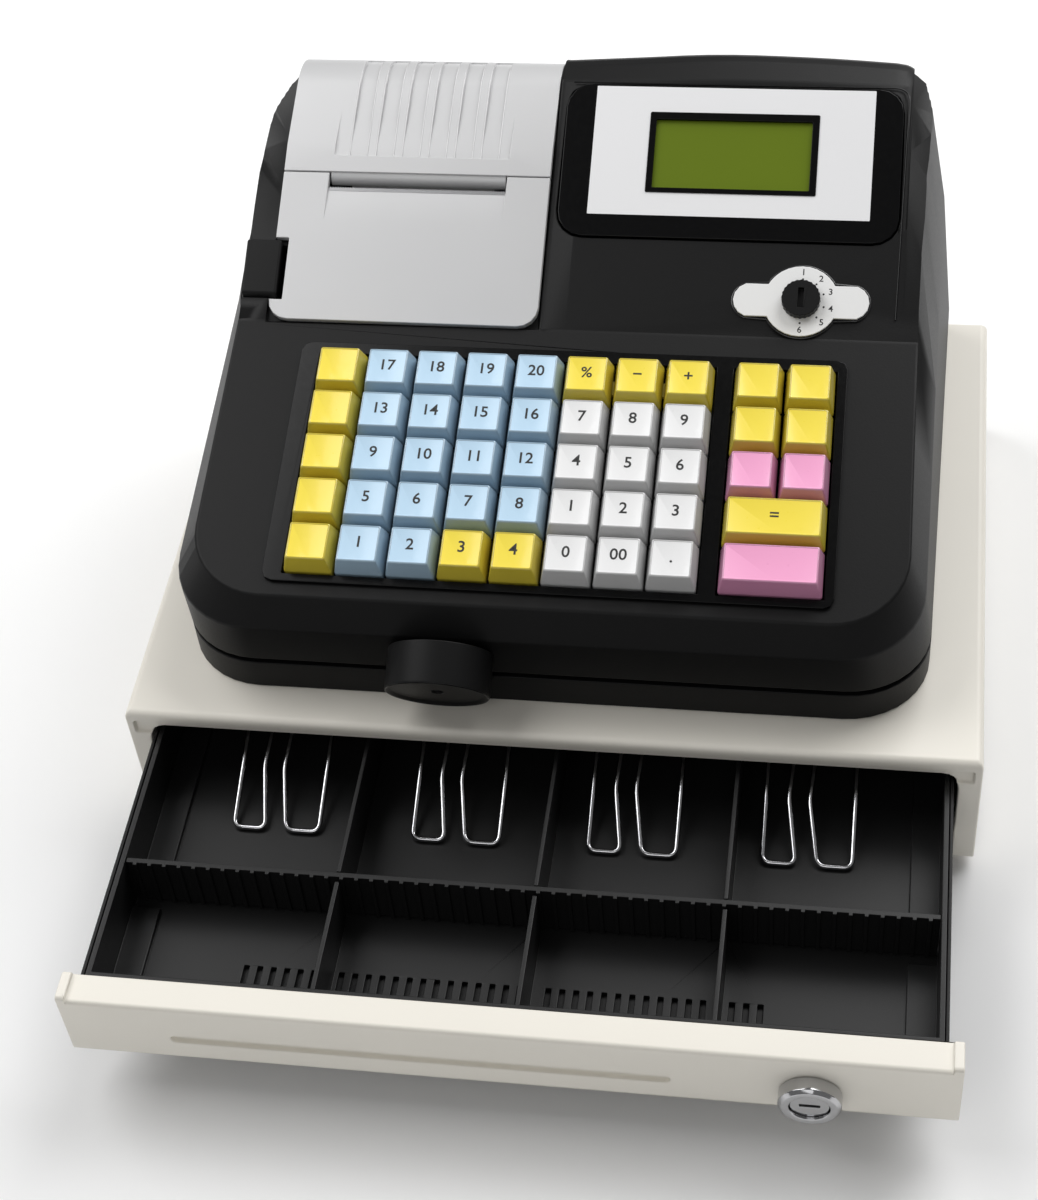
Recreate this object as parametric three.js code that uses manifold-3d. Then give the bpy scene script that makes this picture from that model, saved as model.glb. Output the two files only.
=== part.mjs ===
// Ticket register: a small cash register standing on a steel cash drawer.
// Millimetres, +X right, +Y back, +Z up. Inside this file y = 0 is the front plane of the
// drawer case and z = 0 the table; the finished group is moved so that its origin is the
// middle of its footprint with the drawer as far open as it stands.

import * as THREE from 'three';
import { mergeVertices } from 'three/addons/utils/BufferGeometryUtils.js';
import Module from 'manifold-3d';

const wasm = await Module();
wasm.setup();

// Shared clearances
const clearance = 0.3;
const slidingGap = 0.6;
const overrun = 3;
const mergeTolerance = 0.0001;
const rightAngle = 90;
const toDegrees = 180 / Math.PI;

// Drawer case, folded from sheet steel
const caseWidth = 320;
const caseDepth = 238;
const caseHeight = 56;
const footHeight = 4;
const footRadius = 8;
const footInset = 22;
const steel = 1.2;
const rimWidth = 8.4;
const rimDepth = 8;
const rimTopHeight = 8.5;
const rimCornerRadius = 6;
const lipRadius = 3;
const lipHeight = 5;
const bandRecess = 1.6;
const baseRailHeight = 15.5;
const baseUpstand = 10;
const caseTop = footHeight + caseHeight;
const openingHalf = caseWidth / 2 - rimWidth;
const openingTop = caseTop - rimTopHeight;

// Slide rails on the case walls
const railShelf = 6.4;
const railHeight = 20;
const railFrontY = 9;
const railRearGap = 6;
const railRearY = caseDepth - railRearGap;

// Drawer: pan, front panel and where it stands open
const openDistance = 110.2;
const panSideGap = 2.1;
const panHalf = caseWidth / 2 - steel - clearance - railShelf - panSideGap;
const panBottom = 21.5;
const panTop = 48.5;
const panRear = 112;
const panFront = -openDistance + clearance;
const flangeLength = 33;
const flangeWidth = 7;
const flangeBottom = 36.3;
const panelThickness = 11.8;
const panelInset = 5;
const panelHalf = caseWidth / 2 - panelInset;
const panelBottom = 20.5;
const panelTop = 51.5;
const panelLip = 1.8;
const panelLipWidth = 3.5;
const panelEdgeRadius = 1.6;
const panelFront = -openDistance - panelThickness;
const grooveFromLeft = 38;
const grooveFromRight = 97;
const grooveHeight = 4;
const grooveDepth = 2;
const grooveEndRadius = 1.9;
const grooveCentreZ = 32.5;

// Till tray, its walls and its loose cross divider
const trayTop = 48;
const trayWall = 1.8;
const trayFloor = 1.6;
const dividerWall = 1.6;
const dividerTop = 47.4;
const coinDividerTop = 46.4;
const crossY = -58;
const crossWall = 2;
const toothPitch = 5.5;
const toothWidth = 1.4;
const toothDepth = 1;
// places of the three dividers across the tray, as shares of half its inside width
const dividerShares = [-0.46, 0.03, 0.49];

// Banknote clips on their rod
const rodY = 28;
const rodZ = 45.4;
const rodRadius = 1.5;
const wireRadius = 1;
const clipHalf = 16.4;
const clipReach = 56;
const clipCornerRadius = 3.2;
// middles of the four clips, as shares of half the tray's inside width
const clipShares = [-0.686, -0.217, 0.234, 0.673];
// bends of one clip's inner legs: sideways as shares of clipHalf, forward as shares of clipReach
const innerLegShares = [[-0.26, 1], [-0.49, 0.55], [-0.38, 0.14], [0.1, 0.14], [-0.02, 0.55], [0.22, 1]];

// Key lock in the drawer front
const lockFromRight = 49.8;
const lockX = panelHalf - lockFromRight;
const lockZ = 31.8;
const lockRadius = 10.8;
const lockReach = 6;
const lockBodyRadius = 9;
const lockBodyLength = 9.5;
const barrelRadius = 6.7;
const barrelLength = 14;
const barrelReach = 1.2;
const keySlotWidth = 1.6;
const keySlotLength = 7;
const keySlotDepth = 2;

// Release solenoid behind the drawer
const solenoidWidth = 34;
const solenoidDepth = 11.5;
const solenoidHeight = 24;

// Register base
const registerFrontY = 17;
const registerRearY = 240;
const deckHalf = 132.2;
const baseStep = 7.6;
const baseFlare = 4.4;
const baseMiddle = -0.8;
const baseCornerRadius = 31;
const baseRearRadius = 12;
const baseWall = 2.5;
const baseHeight = 13.3;
const seamGroove = 2;
const baseLipHeight = 7;
const baseBottom = caseTop + clearance;
const baseTop = baseBottom + baseHeight;
const baseFloorTop = baseBottom + baseWall;
const upperBottom = baseTop + seamGroove;

// Upper housing: shoulder line, keyboard deck and display slope
const shellWall = 2.5;
const shoulderStep = 7;
const shoulderFlare = 1.6;
const shoulderMiddle = -2.8;
const shoulderRearY = 248;
const shoulderFrontZ = 93;
const shoulderRise = 38;
const deckTilt = 15.25 * Math.PI / 180;
const deckFrontY = 23;
const deckFrontZ = 105.3;
const deckTaper = 2.2;
const deckMiddle = -1.8;
const deckCornerRadius = 28;
const bendY = 138;
const displayTilt = 27 * Math.PI / 180;
const ridgeY = 233.5;
const crownY = 243;
const crownRadius = 14;
const crownRise = 2.1;
const housingRearY = crownY + crownRadius;
const cornerSteps = 9;
const rearSteps = 6;
// lowered strips beside the display and the printer: up the slope, drop, further fall at the edge
const stripBorder = 123.2;
const stripWidth = 16;
const stripPlaces = [[12, 0, 0], [53, 1.5, 6], [80, 3, 13], [105, 7, 20], [135, 20, 22]];
const bendZ = deckFrontZ + (bendY - deckFrontY) * Math.tan(deckTilt);
const ridgeZ = bendZ + (ridgeY - bendY) * Math.tan(displayTilt);
const crownZ = ridgeZ + crownRise;

// Keyboard, laid out on the deck: x across, v up the slope, w square to it
const keyPitch = 19.05;
const keyBase = 18.2;
const keyTop = 14.7;
const keySkirt = 1.6;
const keyHeight = 9.35;
const keyEdge = 0.5;
const keyDrop = 2;
const keyTravel = 3.4;
const stemWidth = 5;
const stemLength = 7;
const webWidth = 6;
const webThickness = 1.4;
const firstColumnX = -87.8;
const padColumnX = 71.5;
const firstRowV = 94.75;
const keyRows = 5;
const keyColumns = 8;
const bezelLeft = -105;
const bezelRight = 104;
const bezelFront = 5.6;
const bezelRear = 109.5;
const bezelThickness = 1.2;
const bezelRadius = 4;
const windowMargin = 0.7;
const platePlay = 0.6;
const plateThickness = 3;
const plateRim = 3;
const plateDrop = keyDrop + keyTravel + platePlay;

// Mode switch beside the keyboard, in display slope places: x across, s up the slope
const modeX = 84.9;
const modeS = 15;
const modePlateRadius = 14.2;
const modeWingHalf = 25.7;
const modeWingRadius = 7;
const modePlateThickness = 0.9;
const knobRadius = 7.4;
const knobHeight = 3.4;
const shaftRadius = 5.5;
const shaftLength = 12;
const keyHoleWidth = 2.2;
const keyHoleLength = 8;
const keyHoleDepth = 2;
const knobTeeth = 24;

// Display window and its screen
const windowLeft = -11;
const windowRight = 120;
const windowFrontS = 39.5;
const windowRearS = 104;
const windowRadius = 10;
const windowThickness = 2.4;
const windowProud = 0.8;
const screenLeft = 22;
const screenRight = 87;
const screenFrontS = 58.5;
const screenRearS = 91;
const screenSink = 0.9;
const screenDepth = 4.4;
const windowSeatMargin = 4;

// Printer covers
const coverLeft = -121.5;
const coverRight = -15;
const coverFrontS = 0.6;
const seamS = 62.8;
const seamGap = 0.5;
const coverThickness = 3;
const coverProud = 1.5;
const coverRadius = 8;
const coverLedge = 4.6;
const slotLeft = -103;
const slotRight = -32;
const slotWidth = 6.4;
const scoopDepth = 1.5;
const scoopLength = 14;
const lidStraight = 12.2;
const crestTilt = 19 * Math.PI / 180;
const crestLength = 29;
const crestRadius = 22;
const tailTilt = -40 * Math.PI / 180;
const tailRadius = 10;
const crestSteps = 12;
const tailSteps = 6;
const lidBarrelRadius = 6;
const lidPinRadius = 1.8;
const lidPinLength = 2;
const lidCheek = 3;
const rampLeft = -101.7;
const rampRight = -31.8;
const rampFrontS = 70.4;
const rampLength = 20;
const rampDepth = 0.7;
const channelFirstX = -95.9;
const channelPitch = 10.54;
const channelWidth = 7.1;
const channelCount = 6;
const channelDepth = 0.9;

// Cover release latch at the left edge
const latchFrontY = 147;
const latchRearY = 167.5;
const latchLeft = -133;
const latchRight = -118.8;
const latchBottom = 137;
const latchTravel = 2;
const latchProud = 1.5;

// Printer under the covers
const printerLeft = -103;
const printerRight = -31;
const cheekWall = 2;
const rollY = 214;
const rollZ = 143.5;
const rollRadius = 22;
const rollCoreRadius = 6;
const rollWidth = 57.5;
const cradleGap = 0.5;
const cradleWall = 2;
const platenY = 182;
const platenZ = 147;
const platenRadius = 5.5;
const platenAxleRadius = 2;
const headFrontY = 160;
const headDepth = 14;
const headHeight = 18;
const headDrop = 22;
const postWidth = 8;

// Clerk key reader on the front
const readerX = -38;
const readerY = 3;
const readerZ = 78.1;
const readerRadius = 19.5;
const readerDepth = 16;
const readerTilt = 27.5 * Math.PI / 180;
const readerDish = 1;
const readerRim = 1;
const readerHoleRadius = 2.2;
const readerHoleDepth = 4;

// Boards and power
const boardLeft = -25;
const boardRight = 100;
const boardFrontY = 60;
const boardDepth = 110;
const boardThickness = 1.6;
const boardPostRadius = 3;
const boardPostHeight = 5;
const boardPostInset = 8;
const supplyX = 60;
const supplyY = 205;
const supplyWidth = 56;
const supplyDepth = 44;
const supplyHeight = 34;
const inletX = 96;
const inletZ = 92;
const inletRadius = 6;
const inletFlangeRadius = 8;
const inletFlange = 1.6;
const inletLength = 12;
const inletBoreRadius = 3;
const inletBoreDepth = 9;

// Colours, as seen
const enamel = new THREE.MeshStandardMaterial({ color: 0xe4e0d8, roughness: 0.45, metalness: 0 });
const blackSteel = new THREE.MeshStandardMaterial({ color: 0x161616, roughness: 0.5, metalness: 0.3 });
const blackPlastic = new THREE.MeshStandardMaterial({ color: 0x1b1b1c, roughness: 0.55, metalness: 0 });
const glossBlack = new THREE.MeshStandardMaterial({ color: 0x0a0a0b, roughness: 0.12, metalness: 0 });
const silver = new THREE.MeshStandardMaterial({ color: 0xc9c9cc, roughness: 0.4, metalness: 0.5 });
const chrome = new THREE.MeshStandardMaterial({ color: 0xd8d8da, roughness: 0.12, metalness: 1 });
const rubber = new THREE.MeshStandardMaterial({ color: 0x202020, roughness: 0.9, metalness: 0 });
const whitePlastic = new THREE.MeshStandardMaterial({ color: 0xf2f2f0, roughness: 0.4, metalness: 0 });
const screenGreen = new THREE.MeshStandardMaterial({ color: 0x6f8226, roughness: 0.3, metalness: 0 });
const paper = new THREE.MeshStandardMaterial({ color: 0xf7f6f2, roughness: 0.85, metalness: 0 });
const boardGreen = new THREE.MeshStandardMaterial({ color: 0x1f5a34, roughness: 0.5, metalness: 0 });
const yellowKey = new THREE.MeshStandardMaterial({ color: 0xf3d04a, roughness: 0.25, metalness: 0 });
const blueKey = new THREE.MeshStandardMaterial({ color: 0xa6c8f0, roughness: 0.25, metalness: 0 });
const whiteKey = new THREE.MeshStandardMaterial({ color: 0xf0f0f0, roughness: 0.25, metalness: 0 });
const pinkKey = new THREE.MeshStandardMaterial({ color: 0xf39ad0, roughness: 0.25, metalness: 0 });

// Solids and frames

function solid(geometry) {
  const plain = geometry.clone();
  for (const name of Object.keys(plain.attributes)) {
    if (name !== 'position') plain.deleteAttribute(name);
  }
  const merged = mergeVertices(plain, mergeTolerance);
  const triVerts = new Uint32Array(merged.index.array);
  const vertProperties = merged.attributes.position.array;
  return new wasm.Manifold(new wasm.Mesh({ numProp: 3, vertProperties, triVerts }));
}

function toGeometry(manifold) {
  const mesh = manifold.getMesh();
  const geometry = new THREE.BufferGeometry();
  geometry.setAttribute('position', new THREE.BufferAttribute(new Float32Array(mesh.vertProperties), 3));
  geometry.setIndex(new THREE.BufferAttribute(new Uint32Array(mesh.triVerts), 1));
  return geometry;
}

const join = (...solids) => solids.reduce((sum, next) => sum.add(next));
const cut = (body, ...cutters) => cutters.reduce((rest, next) => rest.subtract(next), body);

function block(x0, x1, y0, y1, z0, z1) {
  const geometry = new THREE.BoxGeometry(x1 - x0, y1 - y0, z1 - z0);
  geometry.translate((x0 + x1) / 2, (y0 + y1) / 2, (z0 + z1) / 2);
  return geometry;
}

const blockSolid = (...sizes) => solid(block(...sizes));

function extrude(points, length, matrix) {
  const shape = new THREE.Shape(points.map(([u, v]) => new THREE.Vector2(u, v)));
  const geometry = new THREE.ExtrudeGeometry(shape, { depth: length, bevelEnabled: false });
  return solid(geometry.applyMatrix4(matrix));
}

// outline in (x, y) carried up z, outline in (y, z) carried along x, outline in (x, z) carried along y
const prismZ = (points, z0, z1) => extrude(points, z1 - z0, new THREE.Matrix4().makeTranslation(0, 0, z0));
const prismX = (points, x0, x1) => extrude(points, x1 - x0, new THREE.Matrix4().set(
  0, 0, 1, x0, 1, 0, 0, 0, 0, 1, 0, 0, 0, 0, 0, 1));
const prismY = (points, y0, y1) => extrude(points, y1 - y0, new THREE.Matrix4().set(
  1, 0, 0, 0, 0, 0, -1, y1, 0, 1, 0, 0, 0, 0, 0, 1));

function arcPoints(centre, radius, startDegrees, endDegrees, steps) {
  const points = [];
  for (let i = 0; i <= steps; i += 1) {
    const angle = (startDegrees + (endDegrees - startDegrees) * i / steps) * Math.PI / 180;
    points.push([centre[0] + radius * Math.cos(angle), centre[1] + radius * Math.sin(angle)]);
  }
  return points;
}

// rectangle with its own radius at each corner: left front, right front, right rear, left rear
function rectangle(x0, x1, y0, y1, radii, steps = 4) {
  const [r0, r1, r2, r3] = Array.isArray(radii) ? radii : [radii, radii, radii, radii];
  const corner = (x, y, sx, sy, radius, start) => (radius > 0
    ? arcPoints([x + sx * radius, y + sy * radius], radius, start, start + rightAngle, steps)
    : [[x, y]]);
  return [
    ...corner(x0, y0, 1, 1, r0, 2 * rightAngle),
    ...corner(x1, y0, -1, 1, r1, 3 * rightAngle),
    ...corner(x1, y1, -1, -1, r2, 0),
    ...corner(x0, y1, 1, -1, r3, rightAngle),
  ];
}

function cylinder(radius, length, axis, centre, sides = 24) {
  const geometry = new THREE.CylinderGeometry(radius, radius, length, sides);
  if (axis === 'x') geometry.rotateZ(Math.PI / 2);
  if (axis === 'z') geometry.rotateX(Math.PI / 2);
  geometry.translate(...centre);
  return geometry;
}

const cylinderSolid = (...sizes) => solid(cylinder(...sizes));

// the keyboard deck and the display slope are turned groups; these carry a solid into them
const deckMatrix = new THREE.Matrix4().makeTranslation(0, deckFrontY, deckFrontZ)
  .multiply(new THREE.Matrix4().makeRotationX(deckTilt));
const slopeMatrix = new THREE.Matrix4().makeTranslation(0, bendY, bendZ)
  .multiply(new THREE.Matrix4().makeRotationX(displayTilt));

const placed = (manifold, matrix) => manifold.transform(matrix.elements);

const slopeHeight = (y, lift) => bendZ + (y - bendY) * Math.tan(displayTilt) + lift / Math.cos(displayTilt);
// the point (y, z) that lies s up the display slope and lift above it
const slopePoint = (s, lift) => [
  bendY + s * Math.cos(displayTilt) - lift * Math.sin(displayTilt),
  bendZ + s * Math.sin(displayTilt) + lift * Math.cos(displayTilt)];

const register = new THREE.Group();
const deck = new THREE.Group();
const slope = new THREE.Group();
deck.applyMatrix4(deckMatrix);
slope.applyMatrix4(slopeMatrix);
register.add(deck, slope);

function addPiece(name, shape, material, group = register) {
  const geometry = shape.isBufferGeometry ? shape : toGeometry(shape);
  const mesh = new THREE.Mesh(geometry, material);
  mesh.name = name;
  group.add(mesh);
  return mesh;
}

// Drawer case

function caseCover() {
  const half = caseWidth / 2;
  const frontView = rectangle(-half, half, footHeight, caseTop, [0, 0, lipRadius, lipRadius]);
  const across = prismY(frontView, 0, caseDepth);
  const along = prismX(rectangle(0, caseDepth, footHeight, caseTop, [0, 0, steel, lipRadius]), -half, half);
  const hollow = blockSolid(-half + steel, half - steel, rimDepth, caseDepth - steel,
    footHeight - overrun, caseTop - steel);
  const mouth = prismY(rectangle(-openingHalf, openingHalf, footHeight - overrun, openingTop,
    [0, 0, rimCornerRadius, rimCornerRadius]), -overrun, rimDepth + overrun);
  const bandLeft = -half + lipRadius;
  const band = blockSolid(bandLeft, -bandLeft, -overrun, bandRecess, openingTop - overrun,
    caseTop - lipHeight);
  return cut(across.intersect(along), hollow, mouth, band);
}

function caseBase() {
  const half = caseWidth / 2 - steel - clearance;
  const rearY = caseDepth - steel - clearance;
  const frontY = rimDepth + clearance;
  const floor = blockSolid(-half, half, frontY, rearY, footHeight, footHeight + steel);
  const rail = blockSolid(-openingHalf + clearance, openingHalf - clearance, steel, frontY + steel,
    footHeight, footHeight + baseRailHeight);
  const left = blockSolid(-half, -half + steel, frontY, rearY, footHeight, footHeight + baseUpstand);
  const right = blockSolid(half - steel, half, frontY, rearY, footHeight, footHeight + baseUpstand);
  const rear = blockSolid(-half, half, rearY - steel, rearY, footHeight, footHeight + baseUpstand);
  const railHollow = blockSolid(-openingHalf + clearance + steel, openingHalf - clearance - steel,
    2 * steel, frontY + steel + overrun, footHeight + steel, footHeight + baseRailHeight - steel);
  return cut(join(floor, rail, left, right, rear), railHollow);
}

function slideRail(side) {
  const wallX = caseWidth / 2 - steel - clearance;
  const shelfTop = flangeBottom - clearance;
  const profile = [
    [wallX - railShelf, shelfTop - steel], [wallX - steel, shelfTop - steel],
    [wallX - steel, shelfTop - railHeight], [wallX, shelfTop - railHeight],
    [wallX, shelfTop], [wallX - railShelf, shelfTop],
  ];
  return prismY(profile.map(([x, z]) => [side * x, z]), railFrontY, railRearY);
}

function foot() {
  const top = footHeight - clearance;
  const profile = [[0, 0], [footRadius - 1.5 * steel, 0], [footRadius, top], [0, top]];
  const points = profile.map(([r, z]) => new THREE.Vector2(r, z));
  return new THREE.LatheGeometry(points, 20).rotateX(Math.PI / 2);
}

function solenoid() {
  const rearY = caseDepth - 2 * steel - 3 * clearance;
  const frontY = rearY - solenoidDepth;
  const bottom = footHeight + steel + clearance;
  const half = solenoidWidth / 2;
  const body = blockSolid(-half, half, frontY, rearY, bottom, bottom + solenoidHeight);
  const slot = blockSolid(-half + 3 * steel, half - 3 * steel, frontY - overrun, frontY + 2 * steel,
    bottom + 3 * steel, bottom + solenoidHeight - 3 * steel);
  const plunger = cylinderSolid(2 * steel, solenoidWidth - 2 * steel, 'x',
    [0, frontY + 2 * steel, bottom + solenoidHeight / 2], 12);
  return join(cut(body, slot), plunger);
}

addPiece('case_cover', caseCover(), enamel);
addPiece('case_base', caseBase(), enamel);
addPiece('slide_rail_left', slideRail(-1), blackSteel);
addPiece('slide_rail_right', slideRail(1), blackSteel);
addPiece('latch_solenoid', solenoid(), blackSteel);
for (const [name, sx, y] of [
  ['foot_front_left', -1, footInset], ['foot_front_right', 1, footInset],
  ['foot_rear_left', -1, caseDepth - footInset], ['foot_rear_right', 1, caseDepth - footInset],
]) {
  addPiece(name, foot(), rubber).position.set(sx * (caseWidth / 2 - footInset), y, 0);
}

// Drawer

function drawerPan() {
  const outer = blockSolid(-panHalf, panHalf, panFront, panRear, panBottom, panTop);
  const inner = blockSolid(-panHalf + steel, panHalf - steel, panFront + steel, panRear - steel,
    panBottom + steel, panTop + overrun);
  const flange = (side) => {
    const x0 = side * (panHalf - steel);
    const x1 = side * (panHalf + flangeWidth);
    return blockSolid(Math.min(x0, x1), Math.max(x0, x1), panRear - flangeLength, panRear,
      flangeBottom, flangeBottom + steel);
  };
  return join(cut(outer, inner), flange(-1), flange(1));
}

function drawerFront() {
  const rearY = -openDistance;
  const side = rectangle(panelFront, rearY, panelBottom, panelTop,
    [panelEdgeRadius, 0, 0, panelEdgeRadius]);
  const panel = prismX(side, -panelHalf, panelHalf);
  const lip = (x0) => prismX(rectangle(panelFront, rearY, panelTop - panelEdgeRadius * 2, panelTop + panelLip,
    [0, 0, panelEdgeRadius, panelEdgeRadius]), x0, x0 + panelLipWidth);
  const grooveOutline = rectangle(-panelHalf + grooveFromLeft, panelHalf - grooveFromRight,
    grooveCentreZ - grooveHeight / 2, grooveCentreZ + grooveHeight / 2, grooveEndRadius);
  const groove = prismY(grooveOutline, panelFront - overrun, panelFront + grooveDepth);
  const lockHole = cylinderSolid(lockBodyRadius + clearance, panelThickness + 2 * overrun, 'y',
    [lockX, (panelFront + rearY) / 2, lockZ], 28);
  return cut(join(panel, lip(-panelHalf), lip(panelHalf - panelLipWidth)), groove, lockHole);
}

const trayHalf = panHalf - steel - clearance;
const trayFrontY = panFront + steel + clearance;
const trayRearY = panRear - steel - clearance;
const trayBottom = panBottom + steel + clearance;
const trayFloorTop = trayBottom + trayFloor;
const dividerXs = dividerShares.map((share) => share * (trayHalf - trayWall));

function tillTray() {
  const outer = blockSolid(-trayHalf, trayHalf, trayFrontY, trayRearY, trayBottom, trayTop);
  const inner = blockSolid(-trayHalf + trayWall, trayHalf - trayWall, trayFrontY + trayWall,
    trayRearY - trayWall, trayFloorTop, trayTop + overrun);
  const crossFront = crossY - crossWall / 2 - toothDepth - clearance;
  const crossRear = crossY + crossWall / 2 + clearance;
  const dividers = dividerXs.flatMap((x) => [
    blockSolid(x - dividerWall / 2, x + dividerWall / 2, trayFrontY + trayWall / 2, crossFront,
      trayBottom, coinDividerTop),
    blockSolid(x - dividerWall / 2, x + dividerWall / 2, crossRear, trayRearY - trayWall / 2,
      trayBottom, dividerTop),
  ]);
  const rodSlot = blockSolid(-trayHalf + trayWall / 2, trayHalf - trayWall / 2, rodY - rodRadius - clearance,
    rodY + rodRadius + clearance, rodZ - rodRadius - clearance, trayTop + overrun);
  return cut(join(cut(outer, inner), ...dividers), rodSlot);
}

function crossDivider() {
  const half = trayHalf - trayWall - clearance;
  const frontY = crossY - crossWall / 2;
  const rearY = crossY + crossWall / 2;
  const outline = [[half, frontY], [half, rearY], [-half, rearY], [-half, frontY]];
  const teeth = Math.floor(2 * half / toothPitch) - 1;
  const start = -teeth * toothPitch / 2;
  for (let i = 0; i <= teeth; i += 1) {
    const x = start + i * toothPitch;
    outline.push([x - toothWidth / 2, frontY], [x - toothWidth / 2, frontY - toothDepth],
      [x + toothWidth / 2, frontY - toothDepth], [x + toothWidth / 2, frontY]);
  }
  return prismZ(outline, trayFloorTop + clearance, dividerTop);
}

// a wire of round section along straight runs, with every bend rounded
class BentWire extends THREE.Curve {
  constructor(corners, bendRadius, bendSteps) {
    super();
    this.points = [corners[0]];
    for (let i = 1; i + 1 < corners.length; i += 1) {
      const [before, corner, after] = [corners[i - 1], corners[i], corners[i + 1]];
      const reach = Math.min(bendRadius, corner.distanceTo(before) / 2, corner.distanceTo(after) / 2);
      const start = corner.clone().lerp(before, reach / corner.distanceTo(before));
      const end = corner.clone().lerp(after, reach / corner.distanceTo(after));
      const bend = new THREE.QuadraticBezierCurve3(start, corner, end);
      this.points.push(...bend.getPoints(bendSteps));
    }
    this.points.push(corners[corners.length - 1]);
  }

  getPoint(share, target = new THREE.Vector3()) {
    const place = Math.min(Math.max(share, 0), 1) * (this.points.length - 1);
    const index = Math.min(Math.floor(place), this.points.length - 2);
    return target.lerpVectors(this.points[index], this.points[index + 1], place - index);
  }

  getPointAt(share, target) {
    return this.getPoint(share, target);
  }

  getSpacedPoints() {
    return this.points;
  }

  getTangentAt(share) {
    const step = 0.5 / (this.points.length - 1);
    const before = this.getPoint(share - step);
    return this.getPoint(share + step).sub(before).normalize();
  }
}

function wireAlong(corners, radius, sides, bendRadius, bendSteps) {
  const path = new BentWire(corners, bendRadius, bendSteps);
  const section = new THREE.Shape(arcPoints([0, 0], radius, 0, 360 * (sides - 1) / sides, sides - 1)
    .map(([u, v]) => new THREE.Vector2(u, v)));
  const options = { steps: path.points.length - 1, extrudePath: path, bevelEnabled: false };
  return solid(new THREE.ExtrudeGeometry(section, options));
}

// one wire bent into two loops, with an eye round the rod at each end
function billClip() {
  const eyeRadius = rodRadius + clearance + wireRadius;
  const wireStart = eyeRadius - wireRadius / 4;
  const inner = innerLegShares.map(([across, along]) => [across * clipHalf, along * clipReach]);
  const corners = [[-clipHalf, wireStart], [-clipHalf, clipReach], ...inner, [clipHalf, clipReach],
    [clipHalf, wireStart]].map(([x, forward]) => new THREE.Vector3(x, -forward, 0));
  const wire = wireAlong(corners, wireRadius, 6, clipCornerRadius, 2);
  const eye = (x) => {
    const ring = new THREE.TorusGeometry(eyeRadius, wireRadius, 5, 10).rotateY(Math.PI / 2);
    return solid(ring.translate(x, 0, 0));
  };
  return toGeometry(join(wire, eye(-clipHalf), eye(clipHalf))).rotateX(clipRestAngle);
}

const clipRestAngle = Math.asin((rodZ - trayFloorTop - wireRadius - clearance) / clipReach);

function lockBezel() {
  const flangeRear = panelFront - clearance;
  const flangeFront = flangeRear - lockReach;
  const profile = [[0, flangeFront + barrelReach * 2], [lockRadius - 2.5 * barrelReach, flangeFront],
    [lockRadius - barrelReach, flangeFront], [lockRadius, flangeFront + barrelReach],
    [lockRadius, flangeRear], [lockBodyRadius, flangeRear], [lockBodyRadius, flangeRear + lockBodyLength],
    [0, flangeRear + lockBodyLength]];
  const turned = new THREE.LatheGeometry(profile.map(([r, y]) => new THREE.Vector2(r, y)), 28);
  turned.translate(lockX, 0, 0);
  const body = solid(turned.translate(0, 0, lockZ));
  const bore = cylinderSolid(barrelRadius + clearance, lockReach + lockBodyLength + 2 * overrun, 'y',
    [lockX, flangeRear + lockBodyLength / 2 - lockReach / 2, lockZ], 28);
  return cut(body, bore);
}

function lockBarrel() {
  const frontY = panelFront - clearance - lockReach + barrelReach;
  const barrel = cylinderSolid(barrelRadius, barrelLength, 'y',
    [lockX, frontY + barrelLength / 2, lockZ], 24);
  const slot = blockSolid(lockX - keySlotLength / 2, lockX + keySlotLength / 2, frontY - overrun,
    frontY + keySlotDepth, lockZ - keySlotWidth / 2, lockZ + keySlotWidth / 2);
  return cut(barrel, slot);
}

addPiece('drawer_pan', drawerPan(), blackSteel);
addPiece('drawer_front', drawerFront(), enamel);
addPiece('till_tray', tillTray(), blackPlastic);
addPiece('cross_divider', crossDivider(), blackPlastic);
const rodLength = 2 * (trayHalf - trayWall / 2 - clearance);
const clipRod = addPiece('clip_rod', cylinder(rodRadius, rodLength, 'x', [0, 0, 0], 12), chrome);
clipRod.position.set(0, rodY, rodZ);
clipShares.forEach((share, i) => {
  const clip = addPiece(`bill_clip_${i + 1}`, billClip(), chrome);
  clip.position.set(share * (trayHalf - trayWall), rodY, rodZ);
});
addPiece('lock_bezel', lockBezel(), chrome);
addPiece('lock_barrel', lockBarrel(), chrome);

// Register base

// places along the housing's sides at which its outlines have a point
const deckStationShares = [0.34, 0.65];
const slopeStationShares = [0.34, 0.69];
const sideStations = [
  ...deckStationShares.map((share) => deckFrontY + share * (bendY - deckFrontY)), bendY,
  ...slopeStationShares.map((share) => bendY + share * (ridgeY - bendY)), ridgeY];

const baseRing = {
  middle: baseMiddle, half: deckHalf + baseStep, flare: baseFlare, rearY: registerRearY };
const shoulderRing = {
  middle: shoulderMiddle, half: deckHalf + shoulderStep, flare: shoulderFlare, rearY: shoulderRearY };

// right-hand half of an outline round the register, from front to back; the sides widen by flare
function rightSide(ring, inset) {
  const frontY = registerFrontY + inset;
  const rearY = ring.rearY - inset;
  const front = baseCornerRadius - inset;
  const rear = baseRearRadius - inset;
  const depth = ring.rearY - registerFrontY;
  const halfAt = (y) => ring.half - inset + ring.flare * (y - registerFrontY) / depth;
  const frontCorner = arcPoints([halfAt(frontY + front) - front, frontY + front], front,
    3 * rightAngle, 4 * rightAngle, cornerSteps);
  const rearStart = rearY - rear;
  const stations = sideStations.map((y) => Math.min(y, rearStart));
  stations[stations.length - 1] = rearStart;
  const rearCorner = arcPoints([halfAt(rearStart) - rear, rearStart], rear, 0, rightAngle, rearSteps);
  return [...frontCorner, ...stations.map((y) => [halfAt(y), y]), ...rearCorner.slice(1)];
}

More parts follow.
